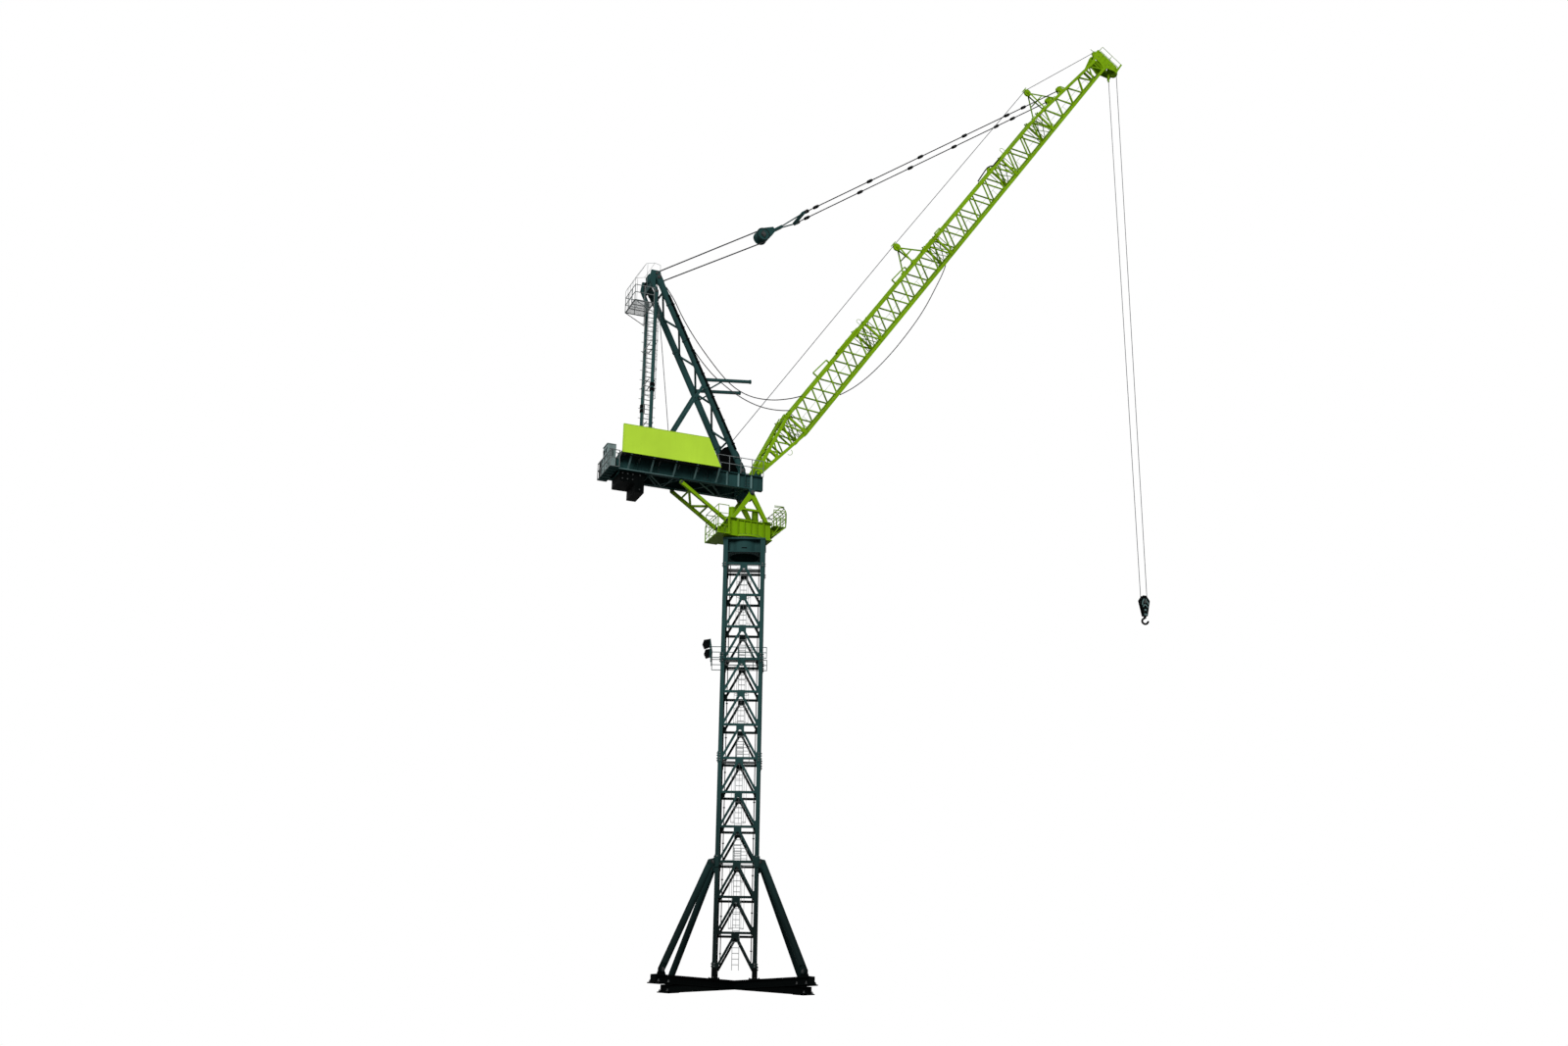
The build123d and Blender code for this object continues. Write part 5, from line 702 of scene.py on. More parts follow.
def deck_struts():
    """Brackets, stiffeners and plan bracing along the near girder, in a paler teal that paints a highlight on
    them.
    """
    pale = Build(UPPER)
    for x in (-3.83, -3.153, -2.467, -1.825, -1.15):
        foot, head = (x, -0.527, DECK_BOTTOM + 0.035), (x, -0.858, DECK_TOP - 0.075)
        pale.bar(foot, head, 0.045, 0.022, X_AXIS)
    for x in (-0.79, -0.435, -0.03):
        pale.box((x - 0.02, -0.52, DECK_BOTTOM + 0.024), (x + 0.02, -0.459, DECK_TOP - 0.024))
    pale.box((-4.1, -0.53, DECK_BOTTOM), (-2.45, -0.522, DECK_BOTTOM + 0.022))
    level = DECK_BOTTOM + 0.004
    for near, far in ((-3.12, -2.5), (-2.42, -2.5), (-1.6, -0.85)):
        pale.bar((near, -0.4, level), (far, 0.4, level), 0.04, 0.02, Z_AXIS)
    pale.piece("deck_struts", PALE)


def deck_grids():
    """The bars of the gratings, open under the luffing winch, and their kick plates."""
    zinc = Build(UPPER)
    rear, front, opening = -4.1, -1.14, (-3.0, -2.02)
    outer = -0.8656
    zinc.box((-4.115, outer - 0.002, DECK_TOP), (-1.125, outer + 0.01, DECK_TOP + 0.075))
    for y in (-0.378, -0.53):
        zinc.box((-4.115, y - 0.004, DECK_TOP), (-3.32, y + 0.004, DECK_TOP + 0.07))
    for step in range(75):
        x = rear + 0.04 * step
        zinc.slab((x, -0.695, DECK_TOP + 0.003), (0.004, 0.334, 0.006))
        if not opening[0] < x < opening[1]:
            zinc.slab((x, 0, DECK_TOP + 0.003), (0.004, 0.744, 0.006))
    walkway = [-0.845 + 0.045 * i for i in range(8)]
    middle = [-0.36 + 0.06 * i for i in range(13)]
    for lines, spans in ((walkway, ((rear, front),)), (middle, ((rear, opening[0]), (opening[1], front)))):
        for y, (start, end) in product(lines, spans):
            zinc.box((start, y - 0.002, DECK_TOP), (end, y + 0.002, DECK_TOP + 0.004))
    zinc.piece("deck_grids", ZINC)


def deck_details():
    teal, dark, iron = builds(3)
    for side in SIDES:
        for x in (-4.0, -3.4, -2.7, -1.9, -1.3, -0.7):
            teal.slab((x, side * 0.461, DECK_BOTTOM + 0.0525), (0.14, 0.024, 0.045))
        for x, z, step in product((-2.95, -1.45, -0.15), (0.1, 0.2, 0.3), (-0.05, 0.05)):
            iron.bolt((x + step, side * 0.458, DECK_BOTTOM + z), Y_AXIS * side, 0.012, 0.02)
        pin_ends(iron, FRAME_FOOT + Y_AXIS * side * GIRDER_Y, 0.0585, 0.038)
        pin_ends(iron, (REAR_LEG_X, side * GIRDER_Y, 14.7296), 0.0505, 0.026)
    dark.box((-3.95, -0.885, DECK_BOTTOM + 0.3), (-1.3, -0.845, DECK_BOTTOM + 0.335))
    dark.box((-3.95, -0.8, DECK_BOTTOM + 0.335), (-1.3, -0.72, DECK_BOTTOM + 0.36))
    for y in (-0.68, -0.63):
        dark.rod((-3.95, y, DECK_BOTTOM + 0.385), (-1.2, y, DECK_BOTTOM + 0.385), 0.026, 8)
    for x in (-4.03, -3.6, -3.17):
        teal.slab((x, 0, DECK_BOTTOM - 0.025), (0.02, 0.77, 0.05))
    for x, drop in ((-3.9535, 0.32), (-3.8002, 0.32), (-3.6468, 0.32), (-3.43, 0.59)):
        for side in SIDES:
            low, high = DECK_BOTTOM - drop + 0.04, DECK_BOTTOM - 0.03
            dark.slab((x, side * 0.402, (low + high) / 2), (0.06, 0.016, high - low))
            for z in (DECK_BOTTOM - 0.075, DECK_BOTTOM - drop + 0.085):
                iron.bolt((x, side * 0.41, z), Y_AXIS * side, 0.018, 0.024)
    teal.piece("deck_cleats", TEAL)
    deck_struts()
    deck_grids()
    dark.piece("deck_ducts", BLACK)
    iron.piece("deck_bolts", IRON)


def panel_details():
    """The folded rim of the side panel and the rivets along its posts."""
    rim = Build(UPPER)
    face = -0.8814
    low, high = DECK_TOP - 0.065, DECK_TOP + 0.815
    bottom, top = low + 0.008, high - 0.008
    corners = [(-4.112, bottom), (-1.138, bottom), (-1.527, top), (-4.112, top), (-4.112, bottom)]
    rim.strap(corners, face - 0.003, 0.014, 0.01)
    for x, step in product((-4.06, -3.59, -3.07, -2.56, -2.05, -1.6), range(9)):
        rim.bolt((x, face, low + 0.06 + 0.095 * step), -Y_AXIS, 0.006, 0.005)
    rim.piece("panel_rim", PANEL)


def tail_details():
    """The pan under the tail, the doors of the switch cabinet, and the louvres of both cabinets."""
    grey, dark, pan = builds(3)
    floor, front = DECK_BOTTOM + 0.0163, -4.1206
    pan.box((front - 0.286, -0.656, DECK_BOTTOM - 0.006), (front - 0.004, 0.656, DECK_BOTTOM))
    for y in (-0.44, -0.22, 0.0, 0.22, 0.44):
        pan.slab((front - 0.144, y, DECK_BOTTOM - 0.017), (0.272, 0.024, 0.022))
    pan.piece("tail_pan", TEAL)
    x = front - 0.26
    for side in SIDES:
        y = side * 0.103
        grey.slab((x - 0.005, y, floor + 0.4125), (0.01, 0.196, 0.725))
        dark.slab((x - 0.017, side * 0.028, floor + 0.44), (0.014, 0.02, 0.12))
        for z in (0.12, 0.41, 0.7):
            hinge = Vector((x - 0.008, side * 0.197, floor + z))
            dark.rod(hinge - Z_AXIS * 0.03, hinge + Z_AXIS * 0.03, 0.016)
        for step in range(6):
            z = floor + 0.58 + 0.024 * step
            dark.bar((x - 0.012, y - 0.06, z), (x - 0.012, y + 0.06, z), 0.01, 0.008, (1, 0, 0.6))
    grey.box((x - 0.02, -0.225, floor + 0.82), (front - 0.004, 0.225, floor + 0.842))
    for side in SIDES:
        y = side * 0.21
        grey.box((x + 0.03, y - 0.005, floor + 0.06), (front - 0.03, y + 0.005, floor + 0.76))
        lean, y = (0, 1, 0.7 * side), side * 0.216
        for step in range(9):
            z = floor + 0.46 + 0.028 * step
            dark.bar((x + 0.06, y, z), (front - 0.06, y, z), 0.01, 0.012, lean)
    left, near = 0.6417, 0.3417
    rear, y = front - 0.253, near - 0.003
    for step in range(15):
        z = floor + 0.05 + 0.03 * step
        dark.bar((rear, near + 0.02, z), (rear, left - 0.02, z), 0.008, 0.014, (1, 0, 0.6))
        dark.bar((front - 0.23, y, z), (front - 0.02, y, z), 0.008, 0.014, (0, 1, -0.6))
    grey.box((front - 0.262, near - 0.012, floor + 0.51), (front - 0.004, left - 0.002, floor + 0.528))
    grey.piece("cabinet_doors", GREY)
    dark.piece("cabinet_louvres", BLACK)


def rope_turns(name, body, x, count=20):
    """Turns of rope laid side by side on a winch drum."""
    wraps = Build(UPPER)
    for turn in range(count):
        centre = (x, (turn - (count - 1) / 2) * 0.0228, DRUM_Z)
        wraps.arc(centre, X_AXIS, Z_AXIS, 0.2315, 0, 360, ROPE_SIZE, 6, 40)
    wraps.piece(name, ROPE, body)


def winch_details():
    rope_turns("hoist_rope_turns", "hoist_drum", HOIST_DRUM_X)
    rope_turns("luffing_rope_turns", "upperworks", LUFFING_DRUM_X)
    dark, iron = builds(2)
    for centre, side in ((HOIST_DRUM_X, -1), (LUFFING_DRUM_X, 1)):
        motor = Vector((centre + side * 0.4795, 0, DECK_TOP + 0.19225))
        for c, s in circle(16):
            out = Vector((c, 0, s))
            fin = motor + out * 0.117
            dark.bar(fin - Y_AXIS * 0.14, fin + Y_AXIS * 0.24, 0.006, 0.018, Y_AXIS.cross(out))
        dark.rod(motor - Y_AXIS * 0.172, motor - Y_AXIS * 0.215, 0.236, 28)
        dark.slab(motor + Vector((0, 0.065, 0.1425)), (0.1, 0.13, 0.065))
        for end in SIDES:
            for x in (-0.26, 0.26):
                iron.bolt((centre + x, end * 0.335, DECK_TOP + 0.06), Z_AXIS, 0.016, 0.024)
            for c, s in circle(6):
                place = (centre + 0.058 * c, end * 0.2905, DRUM_Z + 0.058 * s)
                iron.bolt(place, Y_AXIS * end, 0.007, 0.01)
        for step in range(5):
            iron.bolt((centre + side * 0.1 * step, 0.3872, DECK_TOP + 0.3), Y_AXIS, 0.01, 0.014)
    dark.piece("winch_motor_fins", BLACK)
    iron.piece("winch_bolts", IRON)


def on_leg(side, share):
    """A point of a front leg's axis."""
    place = FRAME_FOOT.lerp(FRAME_HEAD, share)
    return Vector((place.x, side * GIRDER_Y, place.z))


def head_cage(zinc):
    """The rails and the grid of the platform behind the A-frame's head."""
    floor, rear, half = FRAME_HEAD.z - 0.884, -3.8753, 0.505
    hand_rail = ((rear, 0.5), (rear, 0.72), (-3.56, 1.25), (-3.3, 1.32), (-3.12, 1.28))
    knee_rail = ((rear, 0.25), (-3.52, 0.25), (-3.52, 1.24))
    for side in SIDES:
        for route, size in ((hand_rail, 0.012), (knee_rail, 0.01)):
            zinc.tube([(x, side * half, floor + rise) for x, rise in route], size, 6)
        zinc.rod((-3.12, side * half, floor + 1.28), (-3.12, side * half, floor + 0.92), 0.012, 6)
    for x, rise in hand_rail[1:4]:
        zinc.rod((x, -half, floor + rise), (x, half, floor + rise), 0.01, 6)
    for y in (-0.25, 0.0, 0.25):
        zinc.rod((rear, y, floor), (rear, y, floor + 0.72), 0.01, 6)
    for step in range(21):
        y = -0.46 + 0.046 * step
        zinc.box((rear + 0.03, y - 0.002, floor - 0.01), (-3.28, y + 0.002, floor + 0.003))


def frame_details():
    dark, zinc, iron, teal = builds(4)
    run = (FRAME_HEAD - FRAME_FOOT).normalized()
    upper_face = Vector((run.z, 0, -run.x))
    for side in SIDES:
        out = Y_AXIS * side
        rear = Vector((REAR_LEG_X, side * GIRDER_Y, 0))
        pin_ends(iron, FRAME_HEAD + out * GIRDER_Y, 0.0585, 0.038)
        pin_ends(iron, rear + Z_AXIS * 20.0796, 0.0505, 0.026)
        pin_ends(iron, HEAD_AXLE + out * GIRDER_Y, 0.0305, 0.03)
        for share in (0.17, 0.42, 0.67, 0.86):
            middle = on_leg(side, share)
            teal.rod(middle - run * 0.03, middle + run * 0.03, 0.224, 28)
            for c, s in circle(10):
                spoke = Y_AXIS * c + upper_face * s
                iron.bolt(middle + spoke * 0.111, spoke, 0.009, 0.012)
        for step, end in product(range(15), SIDES):
            level = rear + Z_AXIS * (15.05 + 0.31 * step)
            dark.rod(level + X_AXIS * end * 0.05, level + X_AXIS * end * 0.125, 0.014, 6)
        for z in (16.86, 17.02) if side < 0 else (16.52, 16.66):
            dark.rod(rear + Z_AXIS * (z - 0.05), rear + Z_AXIS * (z + 0.05), 0.15, 20)
        for share in (0.3, 0.55, 0.8):
            place = Vector((-3.02, side * GIRDER_Y, DECK_TOP)).lerp(on_leg(side, 0.45), share)
            dark.rod(place + out * 0.04, place + out * 0.1, 0.014, 6)
    for offset in (-0.028, 0.0, 0.028):
        place = Y_AXIS * -0.112 + upper_face * (0.035 + offset)
        dark.rod(on_leg(-1, 0.1) + place, on_leg(-1, 0.9) + place, 0.022, 8)
    for step in range(13):
        middle = on_leg(-1, 0.13 + 0.06 * step) + Y_AXIS * -0.106 + upper_face * 0.035
        dark.bar(middle - upper_face * 0.055, middle + upper_face * 0.055, 0.03, 0.044, run)
    hoops(zinc, REAR_LEG_X, 0, [16.75 + 0.46 * step for step in range(7)], -1)
    head_cage(zinc)
    for y in (-0.3, 0.3):
        dark.slab((-3.31, y, 20.55), (0.1, 0.12, 0.22))
        dark.rod((-3.31, y, 20.66), (-3.31, y, 20.72), 0.05, 14)
    for y in (-0.185, 0.185):
        teal.bar((-3.255, y, 20.46), (-3.215, y, 20.8), 0.016, 0.12, Y_AXIS)
    dark.piece("frame_conduits_and_steps", BLACK)
    zinc.piece("frame_cages", ZINC)
    iron.piece("frame_pins", IRON)
    teal.piece("frame_flanges", TEAL)


# Ropes that lie in sheaves, worked out as tangents between rope circles in the plane of the jib

def tangent(first, second, y=0.0):
    """Where a rope leaves one circle and meets the next, on the left of the way between them."""
    run = Vector((second[0] - first[0], second[1] - first[1]))
    lean = (first[2] - second[2]) / run.length
    along = run.normalized()
    out = along * lean + Vector((-along.y, along.x)) * sqrt(1 - lean * lean)
    return [(x + radius * out.x, y, z + radius * out.y) for x, z, radius in (first, second)]


def sheave_arc(build, loop, y, start, end):
    build.arc((loop[0], y, loop[1]), X_AXIS, Z_AXIS, loop[2], start, end, ROPE_SIZE, 8)


def on_upperworks(place):
    """A place on the jib at rest as x and z of the upperworks' frame."""
    place = UPPER.inverted() @ JIB @ place
    return place.x, place.z


def chord_top(x):
    """The upper face of the jib's top chords."""
    heel, tip = JIB_JOINTS[0], JIB_JOINTS[-1]
    if x < heel:
        return HEEL_FACE + (CHORD_FACE - HEEL_FACE) * x / heel
    return CHORD_FACE if x < tip else CHORD_FACE + (TIP_FACE - CHORD_FACE) * (x - tip) / TIP_LENGTH


def tie_line():
    """The pendants' anchor on the jib, and the way from it to the floating block, which sags a little."""
    anchor = Vector((ANCHOR_X, 0, chord_top(19.8) - CHORD + ANCHOR_RISE))
    axle = JIB.inverted() @ (UPPER @ HEAD_AXLE)
    straight = (axle - anchor).normalized()
    return anchor, (straight + straight.cross(Y_AXIS) * (0.19 / 13.27)).normalized()


def span_rope(name, node, place, runs, look):
    """Straight ropes that keep an end on each of two bodies. Runs are pairs of ends in the frame of place."""
    build = Build(place)
    for run in runs:
        build.tube(run, ROPE_SIZE, 8)
    piece = build.piece(name, look, None)
    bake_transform(piece)
    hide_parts(node)


def moving_ropes():
    """The ropes that change with the luffing and the hoisting."""
    drum = (HOIST_DRUM_X, DRUM_Z, DRUM_LAY)
    x, z, radius = GUIDE_LOOPS[0]
    lead = tangent(drum, (*on_upperworks(Vector((x, 0, z))), radius))
    span_rope("hoist_rope_to_jib", "hoist_rope_lead", UPPER, [lead], ROPE)
    anchor, run = tie_line()
    block = (*on_upperworks(anchor + run * TIE_TO_BLOCK), FLOATING_LOOP_RADIUS)
    falls = []
    for y in (-HEAD_SHEAVE_Y, HEAD_SHEAVE_Y):
        falls.append(tangent(HEAD_LOOP, block, y))
        falls.append(tangent(block, HEAD_LOOP, y)[::-1])
    span_rope("luffing_falls", "luffing_rope_falls", UPPER, falls, GREASED)
    drop = NOSE.z - BLOCK.z
    falls = [[(side * NOSE_LOOP[2], 0, 0), (side * BLOCK_LOOP[2], 0, -drop)] for side in SIDES]
    below_nose = Matrix.Translation(NOSE) @ UPPER
    span_rope("hoist_falls", "hook_falls", below_nose, falls, ROPE)


def rope_details():
    lead = Build(UPPER)
    head, drum = tangent(HEAD_LOOP, (LUFFING_DRUM_X, DRUM_Z, DRUM_LAY), HEAD_SHEAVE_Y)
    lead.rod(drum, head, ROPE_SIZE, 8)
    sheave_arc(lead, HEAD_LOOP, HEAD_SHEAVE_Y, 6, 292)
    sheave_arc(lead, HEAD_LOOP, -HEAD_SHEAVE_Y, 114, 292)
    lead.piece("luffing_rope_on_head", ROPE)
    along = Build(JIB)
    for loop, start, end in zip((*GUIDE_LOOPS, CROWN_LOOP, NOSE_LOOP), (60, 60, 0, -85), (130, 100, 105, 10)):
        sheave_arc(along, loop, 0, start, end)
    along.piece("rope_on_jib_sheaves", ROPE, "jib")
    below = Build(Matrix.Translation(BLOCK) @ UPPER)
    sheave_arc(below, BLOCK_LOOP, 0, 180, 360)
    below.piece("rope_on_block_sheave", ROPE, "hook_block")
    socket = Build(Matrix.Translation(NOSE) @ UPPER)
    x = -NOSE_LOOP[2]
    socket.bar((x, 0, -0.02), (x, 0, -0.34), 0.06, 0.08)
    socket.bar((x, 0, -0.34), (x, 0, -0.46), 0.04, 0.052)
    pin_ends(socket, (x, 0, -0.09), 0.042, 0.018)
    socket.piece("rope_socket", LIME, "falls")


# Jib

HANDLE = ((0, -0.01), (0, 0.17), (0.02, 0.205), (0.06, 0.217), (0.1, 0.205), (0.14, 0.16),
          (0.16, -0.01))
CHAIN = ((14.06, 0), (14.14, 0.07), (14.4, 0.095), (14.7, 0.118), (14.86, 0.124), (15.0, 0.08),
         (15.08, 0.018), (15.64, 0.012))


def jib_joint(lime, x):
    """The pinned joint between two sections: plates on the four chords, and a laced frame on either side."""
    top = chord_top(x) - CHORD
    for side in SIDES:
        y = side * JIB_Y
        for z in (top, JIB_BOTTOM):
            for face in SIDES:
                lime.slab((x, y + face * 0.052, z), (0.22, 0.014, 0.088))
            for step in (-0.06, 0.06):
                pin_ends(lime, (x + step, y, z), 0.06, 0.014)
        for step, rise in ((-0.04, 0.115), (0.04, 0.09)):
            lime.bar((x + step, y, top + CHORD), (x + step, y, top + rise), 0.022, 0.05, X_AXIS)
    for frame_x in (x - 0.15, x + 0.15):
        high, low = chord_top(frame_x) - 2 * CHORD, JIB_BOTTOM + CHORD
        for side in SIDES:
            for start, end in ((0.33, -0.33), (JIB_Y, JIB_Y)):
                lime.rod((frame_x, side * start, high), (frame_x, side * end, low), 0.026, 8)
        for z in (high + CHORD, JIB_BOTTOM):
            lime.rod((frame_x, -0.33, z), (frame_x, 0.33, z), 0.026, 8)


def jib_chord_details(lime, dark):
    """What stands on the near top chord: bent bars, wear plates, stops, handles and a chain over a roller."""
    top, y = chord_top(5.0), -JIB_Y
    for bent in (((3.98, top), (3.98, 0.652), (4.655, 0.59), (4.655, top)),
                 ((8.64, top), (8.645, 0.622), (9.364, 0.578), (9.375, top)),
                 ((11.23, top), (11.23, 0.53), (11.52, 0.52), (11.52, top))):
        lime.strap(bent, y, 0.036, 0.04)
    for start, end, rise in ((5.1, 6.3, 0.072), (10.38, 10.96, 0.064)):
        lime.box((start, y - 0.055, top - 0.004), (end, y + 0.055, top + rise))
        for share, side in product((0.12, 0.5, 0.88), SIDES):
            place = (start + (end - start) * share, y + side * 0.03, top + rise)
            lime.bolt(place, Z_AXIS, 0.012, 0.014)
    for x, rise in ((2.15, 0.085), (6.864, 0.056), (10.312, 0.095), (17.55, 0.055)):
        lime.bar((x, y, top - 0.01), (x, y, top + rise), 0.024, 0.056, Y_AXIS)
    for x in (6.5, 15.812):
        lime.tube([(x + step, y, top + rise) for step, rise in HANDLE], 0.015, 8)
    lime.arc((14.83, y, top - 0.005), X_AXIS, Z_AXIS, 0.085, 0, 180, 0.07, 10)
    line = [Vector((x, y, top + rise)) for x, rise in CHAIN]
    dark.tube(line, 0.015, 6)
    for first, second in zip(line[1:], line[2:]):
        run = second - first
        across = run.cross(Y_AXIS).normalized()
        across = across if across.z > 0 else -across
        count = max(1, round(run.length / 0.055))
        for step in range(count):
            middle = first + run * ((step + 0.5) / count)
            dark.bar(middle - across * 0.01, middle + across * 0.03, 0.026, 0.044, run)


def jib_walkway(lime):
    """A narrow walkway between the bottom chords with a hand line beside it, and a ladder on the heel."""
    level = JIB_BOTTOM + 0.018
    for y in (-0.11, 0.11):
        lime.bar((2.3, y, level), (21.6, y, level), 0.008, 0.026, Y_AXIS)
    for step in range(129):
        x = 2.35 + 0.15 * step
        lime.bar((x, -0.11, level), (x, 0.11, level), 0.012, 0.008, X_AXIS)
    for step in range(22):
        x = 2.645 + 0.89 * step
        lime.bar((x, -0.355, level - 0.028), (x, 0.355, level - 0.028), 0.02, 0.03, X_AXIS)
    lime.rod((2.4, -0.24, 0.02), (21.4, -0.24, -0.1), 0.01, 6)
    for step in range(12):
        x = 2.645 + 1.68 * step
        lime.rod((x, -0.24, level - 0.013), (x, -0.24, 0.018 - 0.0063 * (x - 2.4)), 0.01, 6)
    for y in (-0.16, 0.16):
        lime.bar((0.3, y, 0.205), (2.25, y, 0.505), 0.016, 0.034, Y_AXIS)
        for x in (0.62, 1.35, 2.12):
            foot, head = (x, y, 0.17 + 0.154 * x), (x, y * 2.05, chord_top(x) - CHORD)
            lime.bar(foot, head, 0.02, 0.02, X_AXIS)
    for step in range(14):
        share = (step + 0.5) / 14
        x, z = 0.3 + 1.95 * share, 0.205 + 0.3 * share
        lime.rod((x, -0.16, z), (x, 0.16, z), 0.014, 6)


def jib_lattice_details():
    lime, dark = builds(2, JIB)
    for x in JIB_JOINTS:
        jib_joint(lime, x)
    anchor = tie_line()[0]
    lug = ((19.64, chord_top(19.64) - 0.01), (19.7, 0.47), (19.78, 0.49), (19.9, 0.43),
           (19.98, chord_top(19.98) - 0.01))
    for side in SIDES:
        chord = side * JIB_Y
        pin_ends(lime, (0, chord, 0), 0.0906, 0.036)
        pin_ends(lime, anchor + Y_AXIS * chord, 0.0295, 0.02)
        for y in (chord - 0.04, chord + 0.04):
            lime.strap(lug, y, 0.012, 0.05)
            lime.bar((19.8, y, 0.3), (19.8, y, 0.47), 0.012, 0.16, Y_AXIS)
        for x in (0.62, 1.05, 1.48):
            low, high = -0.09 - 0.13 * x, 0.09 + 0.14 * x
            lime.slab((x, chord, (low + high) / 2), (0.012, 0.1, high - low))
    lime.arc((1.3, -JIB_Y, -0.335), X_AXIS, Z_AXIS, 0.095, 180, 360, 0.016, 8)
    jib_chord_details(lime, dark)
    jib_walkway(lime)
    for x, z, _ in GUIDE_LOOPS:
        pin_ends(lime, (x, 0, z), 0.0505, 0.024)
        for y in (-0.042, 0.042):
            lime.bar((x - 0.1, y, z + 0.155), (x + 0.1, y, z + 0.155), 0.01, 0.03, Y_AXIS)
            lime.bar((x, y, z + 0.09), (x, y, z + 0.16), 0.01, 0.05, Y_AXIS)
    lime.piece("jib_joints_and_frames", LIME, "jib")
    dark.piece("jib_chain", BLACK, "jib")


def jib_head_details():
    lime, iron = builds(2, JIB)
    crown, nose = [Vector((x, 0, z)) for x, z, _ in (CROWN_LOOP, NOSE_LOOP)]
    for place in (crown, nose):
        pin_ends(lime, place, 0.2455, 0.028)
    for side in SIDES:
        y = side * 0.255
        lime.tube([(22.68, y, 0.15), (22.935, y, 0.165), (22.93, y, -0.77)], 0.018, 8)
        lime.tube([(22.7, y, -0.32), (22.932, y, -0.32)], 0.014, 8)
        lime.bar((22.93, y, -0.775), (22.42, y, -0.8), 0.04, 0.06, Y_AXIS)
        for x in (22.7, 22.735):
            lime.rod((x, side * 0.248, 0.12), (x, side * 0.248, -0.74), 0.014, 8)
        for z in (-0.05, -0.2, -0.35, -0.5):
            lime.slab((22.545, side * 0.246, z), (0.38, 0.012, 0.016))
        for x, z in ((22.45, 0.05), (22.62, -0.05), (22.5, -0.42)):
            iron.bolt((x, side * 0.245, z), Y_AXIS * side, 0.014, 0.018)
    for z in (0.165, -0.32, -0.77):
        lime.rod((22.932, -0.255, z), (22.932, 0.255, z), 0.014, 8)
    lime.rod((22.47, -0.235, 0.2), (22.45, -0.235, 0.445), 0.02, 8)
    for (place, radius), side in product(((crown, 0.15), (nose, 0.232)), SIDES):
        lime.arc(place + Y_AXIS * side * 0.034, X_AXIS, Z_AXIS, radius, -40, 120, 0.01, 6)
    lime.piece("jib_head_rails", LIME, "jib")
    iron.piece("jib_head_bolts", IRON, "jib")


# Luffing tie and hook

COUPLER = ((-0.13, 0.02), (-0.115, 0.03), (-0.075, 0.048), (-0.02, 0.052), (0.02, 0.052),
           (0.075, 0.048), (0.115, 0.03), (0.13, 0.02))
COUPLER_SHARES = (0.157, 0.226, 0.4, 0.574, 0.767, 0.963)


def tie_details():
    """The couplers of the pendants, and pins, bolts and rope on the floating block."""
    iron, dark, rope = builds(3, JIB)
    anchor, run = tie_line()
    up = run.cross(Y_AXIS)
    for side in SIDES:
        start = anchor + Y_AXIS * side * JIB_Y
        for share in COUPLER_SHARES:
            middle = start + run * share * PENDANT_LENGTH
            dark.turned(middle, run, COUPLER)
            for step in (-0.045, 0.045):
                pin_ends(iron, middle + run * step, 0.046, 0.012)
        pin_ends(iron, start + run * PENDANT_LENGTH, 0.0295, 0.022)
    centre = anchor + run * TIE_TO_BLOCK
    pin_ends(iron, centre, 0.1655, 0.055)
    for side in SIDES:
        face = centre + Y_AXIS * side * 0.165
        for c, s in circle(12):
            iron.bolt(face + (run * c + up * s) * 0.185, Y_AXIS * side, 0.012, 0.014)
        dark.arc(face, run, up, 0.205, 0, 360, 0.02, 6, 40)
        groove = centre + Y_AXIS * side * HEAD_SHEAVE_Y
        rope.arc(groove, run, up, FLOATING_LOOP_RADIUS, 90, 270, ROPE_SIZE, 8)
    iron.piece("tie_pins", IRON, "jib")
    dark.piece("tie_couplers", BLACK, "jib")
    rope.piece("rope_on_floating_block", ROPE, "jib")


BLOCK_RIM = ((-0.06, 0.205), (0.06, 0.205), (0.178, 0.04), (0.068, -0.47), (-0.068, -0.47),
             (-0.178, 0.04), (-0.06, 0.205))
BLOCK_BOLTS = ((0.045, 0.175), (0.05, -0.34), (0.045, -0.44))
BLOCK_RIBS = (((0.03, 0.1), (0.13, -0.075)),
              ((-0.03, 0.1), (-0.094, -0.01), (-0.106, -0.12)),
              ((-0.08, -0.18), (-0.035, -0.107), (0.035, -0.107), (0.1, -0.19)))


def hook_details():
    block, worn, iron = builds(3, Matrix.Translation(BLOCK) @ UPPER)
    pin_ends(iron, (0, 0, 0), 0.0565, 0.034)
    for side in SIDES:
        y = side * 0.0563
        for (x, z), end in product(BLOCK_BOLTS, SIDES):
            iron.bolt((end * x, y, z), Y_AXIS * side, 0.013, 0.016)
        block.strap(BLOCK_RIM, y, 0.016, 0.014)
        for rib in BLOCK_RIBS:
            worn.strap(rib, y, 0.014, 0.032)
        worn.bar((0, y, -0.25), (0, y, -0.3), 0.008, 0.08, Y_AXIS)
        worn.bar((0, y, -0.4), (0, y, -0.465), 0.012, 0.12, Y_AXIS)
    block.piece("hook_block_rims", BLACK, "hook_block")
    worn.piece("hook_block_ribs", PALE, "hook_block")
    iron.piece("hook_block_pins", IRON, "hook_block")


def dress():
    tower_bolts()
    tower_conduits()
    mast_cages()
    lamp_details()
    slewing_details()
    deck_details()
    panel_details()
    tail_details()
    winch_details()
    frame_details()
    rope_details()
    moving_ropes()
    jib_lattice_details()
    jib_head_details()
    tie_details()
    hook_details()


# Camera, light and stage

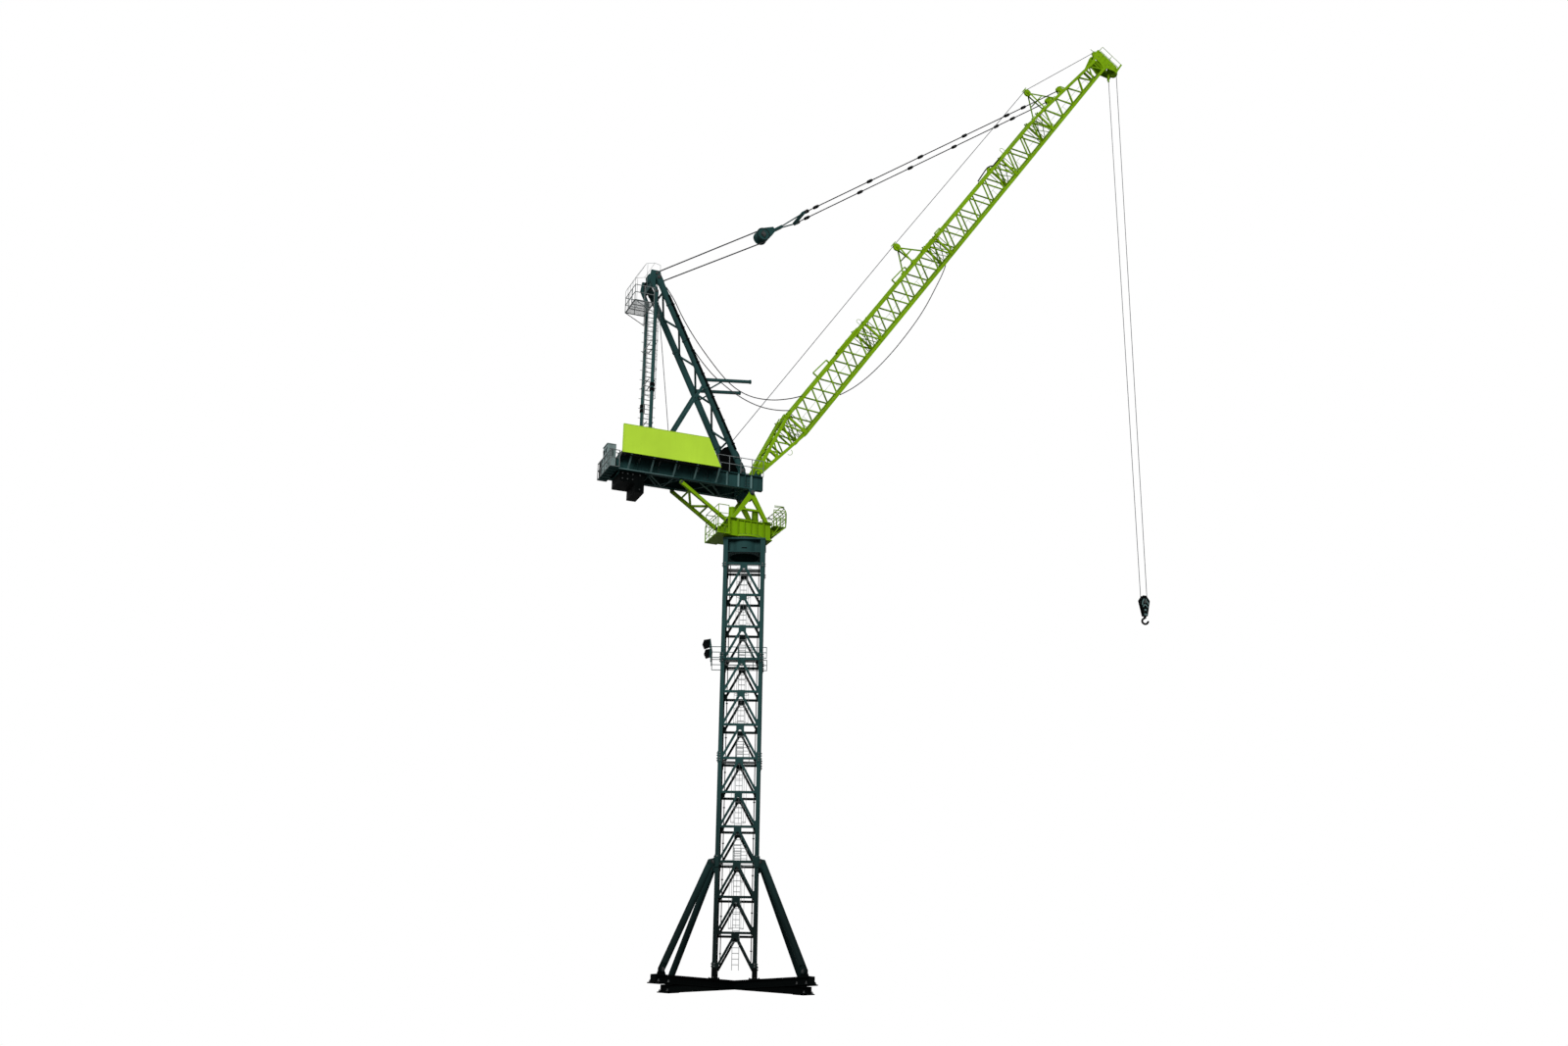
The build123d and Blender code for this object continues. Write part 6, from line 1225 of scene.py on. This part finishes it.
def camera():
    """The photograph's view: from the ground, tilted up, with a slight roll."""
    place = Vector((1.146, -46.135, -2.922))
    tilt, roll = radians(19.41), radians(0.888)
    up = Vector((0, -sin(tilt), cos(tilt)))
    right, up = X_AXIS * cos(roll) + up * sin(roll), up * cos(roll) - X_AXIS * sin(roll)
    back = right.cross(up)
    data = bpy.data.cameras.new("view")
    data.sensor_width = 36.0
    data.lens = 37.92
    data.clip_end = 500.0
    made = placed("view", data)
    turn = Matrix((right, up, back)).transposed().to_4x4()
    made.matrix_world = Matrix.Translation(place) @ turn
    bpy.context.scene.camera = made


def sun(name, direction, strength, angle):
    data = bpy.data.lights.new(name, "SUN")
    data.energy = strength
    data.angle = radians(angle)
    made = placed(name, data)
    made.rotation_euler = Vector(direction).to_track_quat("-Z", "Y").to_euler()


def world():
    """White to the camera and in reflections, and an even soft light on the object."""
    soft_light = 0.18
    made = bpy.data.worlds.new("studio")
    made.use_nodes = True
    bpy.context.scene.world = made
    tree = made.node_tree
    path = tree.nodes.new("ShaderNodeLightPath")
    seen = path.outputs["Is Camera Ray"]
    for ray in ("Is Glossy Ray", "Is Transmission Ray"):
        either = tree.nodes.new("ShaderNodeMath")
        either.operation = "MAXIMUM"
        tree.links.new(seen, either.inputs[0])
        tree.links.new(path.outputs[ray], either.inputs[1])
        seen = either.outputs[0]
    level = tree.nodes.new("ShaderNodeMapRange")
    level.inputs["To Min"].default_value = soft_light
    level.inputs["To Max"].default_value = 1.0
    tree.links.new(seen, level.inputs["Value"])
    background = tree.nodes["Background"]
    background.inputs["Color"].default_value = (1, 1, 1, 1)
    tree.links.new(level.outputs["Result"], background.inputs["Strength"])


def floor():
    """A pale floor that shows only from above, because the camera stands lower than the base. It throws
    little light back up, as open ground does, so the undersides of the object stay dark."""
    reach = 60.0
    corners = [(-reach, -reach, 0), (reach, -reach, 0), (reach, reach, 0), (-reach, reach, 0)]
    nodes = Nodes("pale_floor")
    nodes.shader.inputs["Base Color"].default_value = (0.86, 0.86, 0.86, 1)
    nodes.shader.inputs["Roughness"].default_value = 0.9
    output = nodes.tree.nodes["Material Output"]
    ground = nodes.add("ShaderNodeBsdfDiffuse", {"Color": (0.18, 0.18, 0.18, 1)})
    clear = nodes.add("ShaderNodeBsdfTransparent")
    bounce, blend = nodes.add("ShaderNodeMixShader"), nodes.add("ShaderNodeMixShader")
    nodes.link(nodes.add("ShaderNodeLightPath").outputs["Is Diffuse Ray"], bounce.inputs["Fac"])
    nodes.link(nodes.shader.outputs["BSDF"], bounce.inputs[1])
    nodes.link(ground.outputs["BSDF"], bounce.inputs[2])
    nodes.link(nodes.add("ShaderNodeNewGeometry").outputs["Backfacing"], blend.inputs["Fac"])
    nodes.link(bounce.outputs["Shader"], blend.inputs[1])
    nodes.link(clear.outputs["BSDF"], blend.inputs[2])
    nodes.link(blend.outputs["Shader"], output.inputs["Surface"])
    mesh = bpy.data.meshes.new("floor")
    mesh.from_pydata(corners, [], [[0, 1, 2, 3]])
    mesh.materials.append(nodes.material)
    placed("floor", mesh)


camera()
slack_cables()
dress_nodes()
dress()
sun("key", (0.3, 1.0, -0.48), 3.0, 30.0)
sun("fill", (-0.8, 0.35, -0.25), 0.3, 40.0)
world()
floor()
bpy.context.scene.view_settings.view_transform = "Standard"
